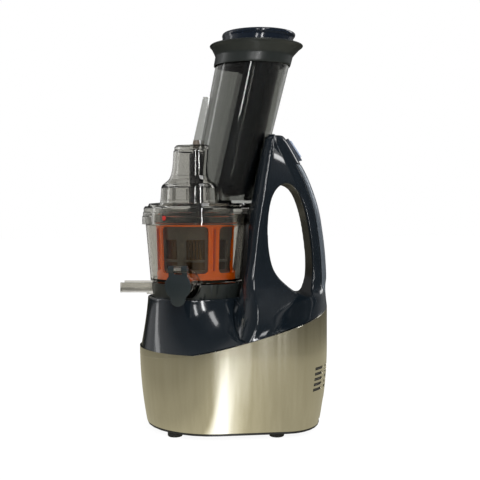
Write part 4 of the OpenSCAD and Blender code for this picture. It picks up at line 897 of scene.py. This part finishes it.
# %% [markdown]
# Softening has rounded the foot as well, where the moulding should end sharp against the steel. That is why
# both blocks were lofted a few millimetres too deep. Now their foot is cut clean along the seam. The cutter
# is the block of the steel base, made a little wider.

# %% Clean foot
SKIRT_LOW, SKIRT_DRAW = 7.6, 9.5
BELOW_SEAM, ABOVE_SEAM = -0.3, 0.25


def base_outline(inset, points=44):
    """The oval of the base, drawn in by an inset."""
    half = HALF_BASE - inset
    return outline(-BASE_FRONT + inset, BACK - inset, half, half, BASE_NOSE - inset, BASE_TAIL - inset / 2,
                   points=points)


def skirt_block(name, inset=0.0, drop=0.0, lift=BELOW_SEAM):
    """The block of the steel base, which draws in towards its foot and ends at a lift above the seam."""
    rings = []
    for z in np.linspace(SKIRT_LOW, SEAM_Z, 40):
        draw = SKIRT_DRAW * ((SEAM_Z - z) / SEAM_Z) ** 2
        at_seam = z == SEAM_Z
        rings.append([(x, y, z + (seam(y) + lift if at_seam else 0)) for x, y in base_outline(draw + inset)])
    return loft(name, rings, drop)


def trimmed(piece):
    """Cuts the foot of a soft moulding clean along the seam, just above the steel."""
    carved(piece, skirt_block("below", -6, 0, ABOVE_SEAM))
    return creased(piece, 50)


trimmed(housing)
trimmed(pedestal)
print("trimmed tower:", len(housing.data.polygons), "faces")


# %% [markdown]
# ## Handing a piece over
# A finished piece takes the place of one or more plain solids. It gets its material and the body that it
# rides on, so that it moves when the joints move.

# %% Housing and saddle
def dress(piece, material, body, slot, *nodes):
    """Gives a piece its material and its body, and hides the plain solids that it stands for. The slot is not
    used.
    """
    piece.data.materials.clear()
    piece.data.materials.append(finish[material])
    piece.data.polygons.foreach_set("material_index", [0] * len(piece.data.polygons))
    for node in nodes:
        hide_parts(node)
    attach(piece, body)
    print(piece.name + ":", len(piece.data.polygons), "faces")


dress(housing, "housing", "base", "housing", "housing_left", "housing_right")
dress(pedestal, "housing", "base", "housing", "pedestal")


# %% [markdown]
# ## Repeats with Geometry Nodes
# Slots and ribs repeat, so they are grown by a small tree of nodes instead of being placed one by one. A
# tree has named inputs, as a recipe has its list of amounts: how many, how far apart, how large. The tree
# lays out points and puts a block on each of them. Change one number and every slot follows. At the end the
# instances are made real, because only a real mesh can cut a sheet or be handed on.

# %% Blocks on points
def blocks_on(tree, given, result, points, rotation=None):
    """Puts a block on each point, moves them all to the named place and makes them one real mesh."""
    cube = add(tree, "GeometryNodeMeshCube", links={"Size": given["Block"]})
    turned = {"Rotation": rotation} if rotation else {}
    many = add(tree, "GeometryNodeInstanceOnPoints",
               links={"Points": points, "Instance": cube.outputs["Mesh"], **turned})
    moved = add(tree, "GeometryNodeTransform",
                links={"Geometry": many.outputs["Instances"], "Translation": given["Place"]})
    real = add(tree, "GeometryNodeRealizeInstances", links={"Geometry": moved.outputs["Geometry"]})
    painted = add(tree, "GeometryNodeSetMaterial",
                  links={"Geometry": real.outputs["Geometry"], "Material": given["Material"]})
    tree.links.new(painted.outputs["Geometry"], result["Geometry"])


block_inputs = {"Block": "Vector", "Place": "Vector", "Material": "Material"}
rows_tree, given, result = new_group(
    "GeometryNodeTree", "blocks_in_rows",
    {"Columns": "Int", "Rows": "Int", "Width": "Float", "Height": "Float", **block_inputs},
    {"Geometry": "Geometry"})
flat = add(rows_tree, "GeometryNodeMeshGrid", links={"Size X": given["Width"], "Size Y": given["Height"],
           "Vertices X": given["Columns"], "Vertices Y": given["Rows"]})
upright = add(rows_tree, "GeometryNodeTransform", {"Rotation": (math.radians(90), 0, 0)},
              {"Geometry": flat.outputs["Mesh"]})
blocks_on(rows_tree, given, result, upright.outputs["Geometry"])
print("tree of rows:", len(rows_tree.nodes), "nodes")

# %% [markdown]
# The second tree sets its blocks in a ring. Each block is turned to face away from the middle, which a
# single node works out from where its point lies.

# %% Blocks in a ring
ring_tree, given, result = new_group(
    "GeometryNodeTree", "blocks_in_a_ring",
    {"Count": "Int", "Radius": "Float", "First": "Float", **block_inputs}, {"Geometry": "Geometry"})
circle = add(ring_tree, "GeometryNodeMeshCircle",
             links={"Vertices": given["Count"], "Radius": given["Radius"]})
start = add(ring_tree, "ShaderNodeCombineXYZ", links={"Z": given["First"]})
swung = add(ring_tree, "GeometryNodeTransform",
            links={"Geometry": circle.outputs["Mesh"], "Rotation": start.outputs["Vector"]})
where = add(ring_tree, "GeometryNodeInputPosition")
outward = add(ring_tree, "FunctionNodeAlignRotationToVector", links={"Vector": where.outputs["Position"]},
              axis="X", pivot_axis="Z")
blocks_on(ring_tree, given, result, swung.outputs["Geometry"], outward.outputs["Rotation"])
print("tree of a ring:", len(ring_tree.nodes), "nodes")


# %% [markdown]
# ## Steel skirt
# The skirt is one drawn sheet: it leans in towards the bottom and its top edge follows the seam. The vents
# at the back and the arch for the cord are stamped out. The sheet keeps crisp edges, so it gets no
# softening, and its shading is broken only at the cuts.

# %% Steel skirt
STEEL_WALL = 1.2
ARCH_X, ARCH_Z, ARCH_R = 36, 23, 12
VENT_COLUMNS, VENT_ROWS = 7, 5
VENT_SPACE, VENT_RISE, VENT_LOW = 22.1, 5.6, 49.5
VENT_SIZE, VENT_BACK = (0.0176, 0.052, 0.003), 0.1284


def block(name, centre, size):
    """A plain block used as a cutter, in millimetres from the drive axis."""
    x, y, z = centre
    a, b, c = (v / 2 for v in size)
    corners = [placed(x + i * a, y + j * b, z + k * c) for k in (-1, 1) for i, j in CORNERS]
    return new_piece(name, corners, BLOCK_FACES)


def grown(name, tree, **values):
    """Runs a tree on an empty object and keeps its result as a plain mesh."""
    piece = new_piece(name, [], [])
    grow = piece.modifiers.new("grow", "NODES")
    grow.node_group = tree
    for socket in tree.interface.items_tree:
        if socket.in_out == "INPUT":
            grow[socket.identifier] = values[socket.name.lower()]
    return settled(piece)


vent_width, vent_height = (VENT_COLUMNS - 1) * VENT_SPACE, (VENT_ROWS - 1) * VENT_RISE
vents = grown("vents", rows_tree, columns=VENT_COLUMNS, rows=VENT_ROWS, width=vent_width / 1000,
              height=vent_height / 1000, block=VENT_SIZE, material=finish["steel"],
              place=(0, VENT_BACK + DRIVE_Y, (VENT_LOW + vent_height / 2) / 1000))
arch = block("arch", (ARCH_X, 130, 10), (2 * ARCH_R, 80, 26))
crown = rod("arch_crown", (ARCH_X, 90, ARCH_Z), (ARCH_X, 170, ARCH_Z), ARCH_R, ARCH_R, 48)
steel = skirt_block("steel_shell")
carved(steel, skirt_block("steel_inside", STEEL_WALL, 1, 1), arch, crown, vents)
dress(creased(steel), "steel", "base", "steel", "steel_skirt")

# %% [markdown]
# Behind the vents the base would look hollow, so a thin black sheet closes them. It is painted shade,
# standing in for the dark inside of the base. It is the same block twice more, a little smaller each time,
# and only the part behind the vents is kept.

# %% Painted shade behind the vents
SHADE_SHEET_OUT, SHADE_SHEET_IN = 1.5, 2.3
# a black sheet behind the vents: painted shade for the dark inside of the base
vent_shade_sheet = carved(skirt_block("vent_shade_sheet", SHADE_SHEET_OUT), skirt_block("vent_shade_sheet_inside", SHADE_SHEET_IN, 1, 1))
carved(vent_shade_sheet, block("keep", (0, 125, 61), (150, 60, 34)), operation="INTERSECT")
dress(creased(vent_shade_sheet), "black_plastic", "base", "black_plastic")

# %% [markdown]
# ## Grip trim
# A satin grey channel wraps the back of the grip, from the seam to below the switch. It is cut from the
# very same loft as the housing, so that it lies flush, and drawn in by a hair all round where the two
# mouldings meet.

# %% Grip trim
TRIM_GAP = 0.3
trim = tower("trim_shell")
zone = trim_zone("trim_keep", CHANNEL_DEPTH - TRIM_GAP, CHANNEL_HALF - TRIM_GAP,
                 TRIM_LOW + TRIM_GAP, TRIM_HIGH - TRIM_GAP)
carved(trim, zone, operation="INTERSECT")
carved(trim, tower("trim_core", CHANNEL_FLOOR - TRIM_GAP))
softened(trim, grain=0.62, rounds=2)
dress(trim, "silver_trim", "base", "silver_trim", "handle_trim")


# %% [markdown]
# ## Steel lip
# A drawn sheet ends in a fine rolled lip. Its steel is lighter than the skirt's, a painted highlight that
# draws a thin bright line along the seam. It is a ring of outlines that comes back to the first one, like a
# hose laid round the base.

# %% Steel lip
LIP_R, LIP_IN, LIP_DOWN, LIP_STEPS = 0.5, 0.55, -0.45, 8


def ring_of_rings(name, rings):
    """A closed skin through rings that come back to the first one."""
    points = [placed(*p) for ring in rings for p in ring]
    piece = new_piece(name, points, skin_faces(len(rings[0]), len(rings), True))
    outwards(piece)
    return smooth_shaded(piece)


rings = []
for turn in range(LIP_STEPS):
    a = 2 * math.pi * turn / LIP_STEPS
    tuck, rise = LIP_IN - LIP_R * math.cos(a), LIP_DOWN + LIP_R * math.sin(a)
    rings.append([(x, y, SEAM_Z + seam(y) + rise) for x, y in base_outline(tuck, points=60)])
dress(ring_of_rings("steel_lip", rings), "lip_highlight_steel", "base", "steel")


# %% [markdown]
# ## Collar
# The collar is a turned profile whose rings stay level while their centres follow the leaning tube. The
# profile is a list of radius and height, up the outside, over the lip and down the inside. Its corners are
# rounded in the profile itself, which is neater than a bevel.

# %% Collar
LID_WALL = 2.4
LIP_Z = 425.6
LEDGE, MOUTH_IN = LIP_Z - 7, TUBE_HIGH_R - LID_WALL
collar_profile = [
    (43.2, MOUTH_Z - 7), (43.6, MOUTH_Z - 5), (43.9, LEDGE - 5), (45.4, LEDGE - 2.5), (50, LIP_Z - 3),
    (52.3, LIP_Z - 1), (53, LIP_Z), (52.3, LIP_Z + 0.9), (50.8, LIP_Z + 1.2), (49.4, LIP_Z + 1.2),
    (48, LIP_Z - 0.4), (MOUTH_IN + 4, LEDGE + 2), (MOUTH_IN + 2.6, LEDGE), (MOUTH_IN, LEDGE),
    (MOUTH_IN, MOUTH_Z + 0.4), (42.5, MOUTH_Z + 0.4), (42.5, MOUTH_Z - 7)]


def eased(points, radius, closed=True):
    """Rounds the corners of an outline of (x, y) points."""
    points = [np.array(p, float) for p in points]
    out = []
    for i, corner in enumerate(points):
        if not closed and i in (0, len(points) - 1):
            out.append(corner)
            continue
        back, ahead = points[i - 1] - corner, points[(i + 1) % len(points)] - corner
        reach = min(radius, 0.45 * np.linalg.norm(back), 0.45 * np.linalg.norm(ahead))
        a = corner + back / np.linalg.norm(back) * reach
        b = corner + ahead / np.linalg.norm(ahead) * reach
        out += [(1 - t) ** 2 * a + 2 * t * (1 - t) * corner + t * t * b for t in np.linspace(0, 1, 4)]
    return out


def level_rings(profile, count=128):
    """Level circles of a profile's radii, their centres on the axis of the leaning tube."""
    turns = [2 * math.pi * i / count for i in range(count)]
    return [[(radius * math.cos(a), on_tube(height) + radius * math.sin(a), height) for a in turns]
            for radius, height in profile]


collar = ring_of_rings("collar_shell", level_rings(eased(collar_profile, 1.2)))
dress(collar, "dark_plastic", "lid", "dark_plastic", "hopper_collar")

# %% [markdown]
# ## Pusher
# The pusher is a plunger with a flat front and a round foot. It is made from simple blocks: a rod, a
# flattened ball at its foot, a cut for the flat, and a turned knob on top. Then it gets the same soft skin
# as the housing.

# %% Pusher
LID_HIGH, TOP = 244.6, 440.6
PLUNGER_LOW, PLUNGER_R, FOOT_BULGE = LID_HIGH + 12, 31, 22
FLAT_SHIFT = Vector((0, -0.1115, 0))
axis = Vector((0, math.sin(LEAN), math.cos(LEAN)))
tilt = Matrix.Rotation(-LEAN, 4, "X")
middle = Vector((0, TUBE_BACK, DOME_Z))
foot = middle + axis * ((PLUNGER_LOW - DOME_Z) / math.cos(LEAN) + FOOT_BULGE)
plunger = rod("pusher_shell", foot, foot + axis * 200, PLUNGER_R, PLUNGER_R, 192)

ball = new_piece("foot", [], [])
work = bmesh.new()
bmesh.ops.create_uvsphere(work, u_segments=128, v_segments=64, radius=PLUNGER_R / 1000)
squash = Matrix.Diagonal((1, 1, FOOT_BULGE / PLUNGER_R, 1))
work.transform(Matrix.Translation(foot / 1000 + axis_foot) @ tilt @ squash)
work.to_mesh(ball.data)
work.free()
carved(plunger, ball, operation="UNION")

face = block("flat", (0, 0, 0), (200, 200, 600))
face.data.transform(Matrix.Translation(middle / 1000 + axis_foot) @ tilt
                    @ Matrix.Translation(FLAT_SHIFT) @ Matrix.Translation(-axis_foot))
above = block("above", (0, 40, LEDGE + 1.4 + 150), (300, 300, 300))
carved(plunger, face, above)
print("plunger:", len(plunger.data.polygons), "faces")

# %% [markdown]
# The knob that closes the mouth is turned like the collar, on the same leaning axis. It is added to the
# plunger, and then the whole pusher is softened as one moulding.

# %% Pusher knob
knob_profile = [(MOUTH_IN + 1.6, LEDGE + 0.4), (MOUTH_IN + 1.6, TOP - 6), (40.7, TOP - 5), (41.5, TOP - 4),
                (41.5, TOP - 1.6), (40.7, TOP - 0.6), (38.5, TOP)]
knob = loft("knob", level_rings(eased(knob_profile, 0.8, closed=False)))
carved(plunger, knob, operation="UNION")
softened(plunger, grain=1.0, rounds=3)
dress(plunger, "pusher_plastic", "plunger", "auger_plastic", "pusher")


# %% [markdown]
# ## Small mouldings with fine edges
# The small solids have knife edges, and a knife edge never shines. A copy of each gets a fine bevel, so
# that every edge draws a thin light line. First the copy loses the lines between faces that lie in one
# plane, so that the bevel finds long clean edges. The copy takes the place of the solid and moves with the
# same body.

# %% Bevelled copies
FLAT_WITHIN, BEVEL_ABOVE = math.radians(0.6), 35


def edged(piece, width, segments, degrees=30):
    """Rounds every edge sharper than an angle, by a width in millimetres."""
    bevel = piece.modifiers.new("bevel", "BEVEL")
    bevel.width = width / 1000
    bevel.segments = segments
    bevel.limit_method = "ANGLE"
    bevel.angle_limit = math.radians(degrees)
    return settled(piece)


def bevelled(node, width, material, body):
    """A copy of a solid with rounded edges, kept inside the solid's own surface."""
    piece = solids[node].copy()
    piece.data = solids[node].data.copy()
    piece.name = node + "_soft"
    bpy.context.scene.collection.objects.link(piece)
    work = bmesh.new()
    work.from_mesh(piece.data)
    bmesh.ops.remove_doubles(work, verts=work.verts, dist=2e-6)
    bmesh.ops.dissolve_limit(work, angle_limit=FLAT_WITHIN, verts=work.verts, edges=work.edges)
    work.to_mesh(piece.data)
    work.free()
    edged(piece, width, 3, BEVEL_ABOVE)
    dress(creased(piece, 28), material, body, slots[node], node)


bevelled("spout_cap", 0.9, "cap_plastic", "cap")
bevelled("bowl_base", 0.5, "dark_plastic", "bowl")
bevelled("rubber_feet", 0.6, "rubber", "base")
bevelled("pulp_chute", 0.35, "smoky_clear", "bowl")
bevelled("switch_bezel", 0.3, "switch_frame", "base")
bevelled("base_plate", 0.6, "black_plastic", "base")

# %% [markdown]
# The rocker is no copy: it is a plain block in the plane of the switch, with generously rounded edges.

# %% Rocker
ROCKER_LONG, ROCKER_WIDE = 22.4, 13
rocker = edged(switch_block("rocker_cap", ROCKER_LONG, ROCKER_WIDE, -6, 3.3), 1.1, 5)
dress(creased(rocker, 60), "rocker", "rocker", "rocker", "rocker_switch")

# %% [markdown]
# ## Ribs in the lid
# A clear lid is thin, so its tier is stiffened inside by thin upright ribs, all alike and evenly spaced
# round the axis. They are grown by the ring tree.

# %% Lid ribs
RIB_COUNT, RIB_FIRST = 12, math.radians(-17)
RIB_DEPTH, RIB_THICK = 4.2, 1.1
TIER_R, TIER_Z = 40.2, 269.6
rib_low, rib_high = LID_HIGH + 6, TIER_Z - 4.6
ribs = grown("lid_ribs", ring_tree, count=RIB_COUNT, radius=(TIER_R - LID_WALL - RIB_DEPTH / 2) / 1000,
             first=RIB_FIRST, block=(RIB_DEPTH / 1000, RIB_THICK / 1000, (rib_high - rib_low) / 1000),
             place=(0, DRIVE_Y, (rib_low + rib_high) / 2000), material=finish["smoky_lid"])
dress(creased(edged(ribs, 0.3, 2), 40), "smoky_lid", "lid", "smoky_clear")

# %% [markdown]
# ## Mark on the lid
# One small red dot on the rim shows how far to turn the lid. It is a very short cone, so its edge is soft.

# %% Lid mark
LID_R, LID_LOW = 60.5, 224.6
DOT_HEADING, DOT_Z = math.radians(-40), LID_LOW + 7
DOT_THICK, DOT_SUNK = 0.3, 0.2
dot_out = Vector((math.cos(DOT_HEADING), math.sin(DOT_HEADING), 0))
dot_at = Vector((0, 0, DOT_Z)) + dot_out * (LID_R - DOT_SUNK)
dot = rod("lid_dot", dot_at, dot_at + dot_out * DOT_THICK, 2.6, 2.3, 40)
dress(creased(dot, 50), "mark_red", "lid", "orange_plastic")
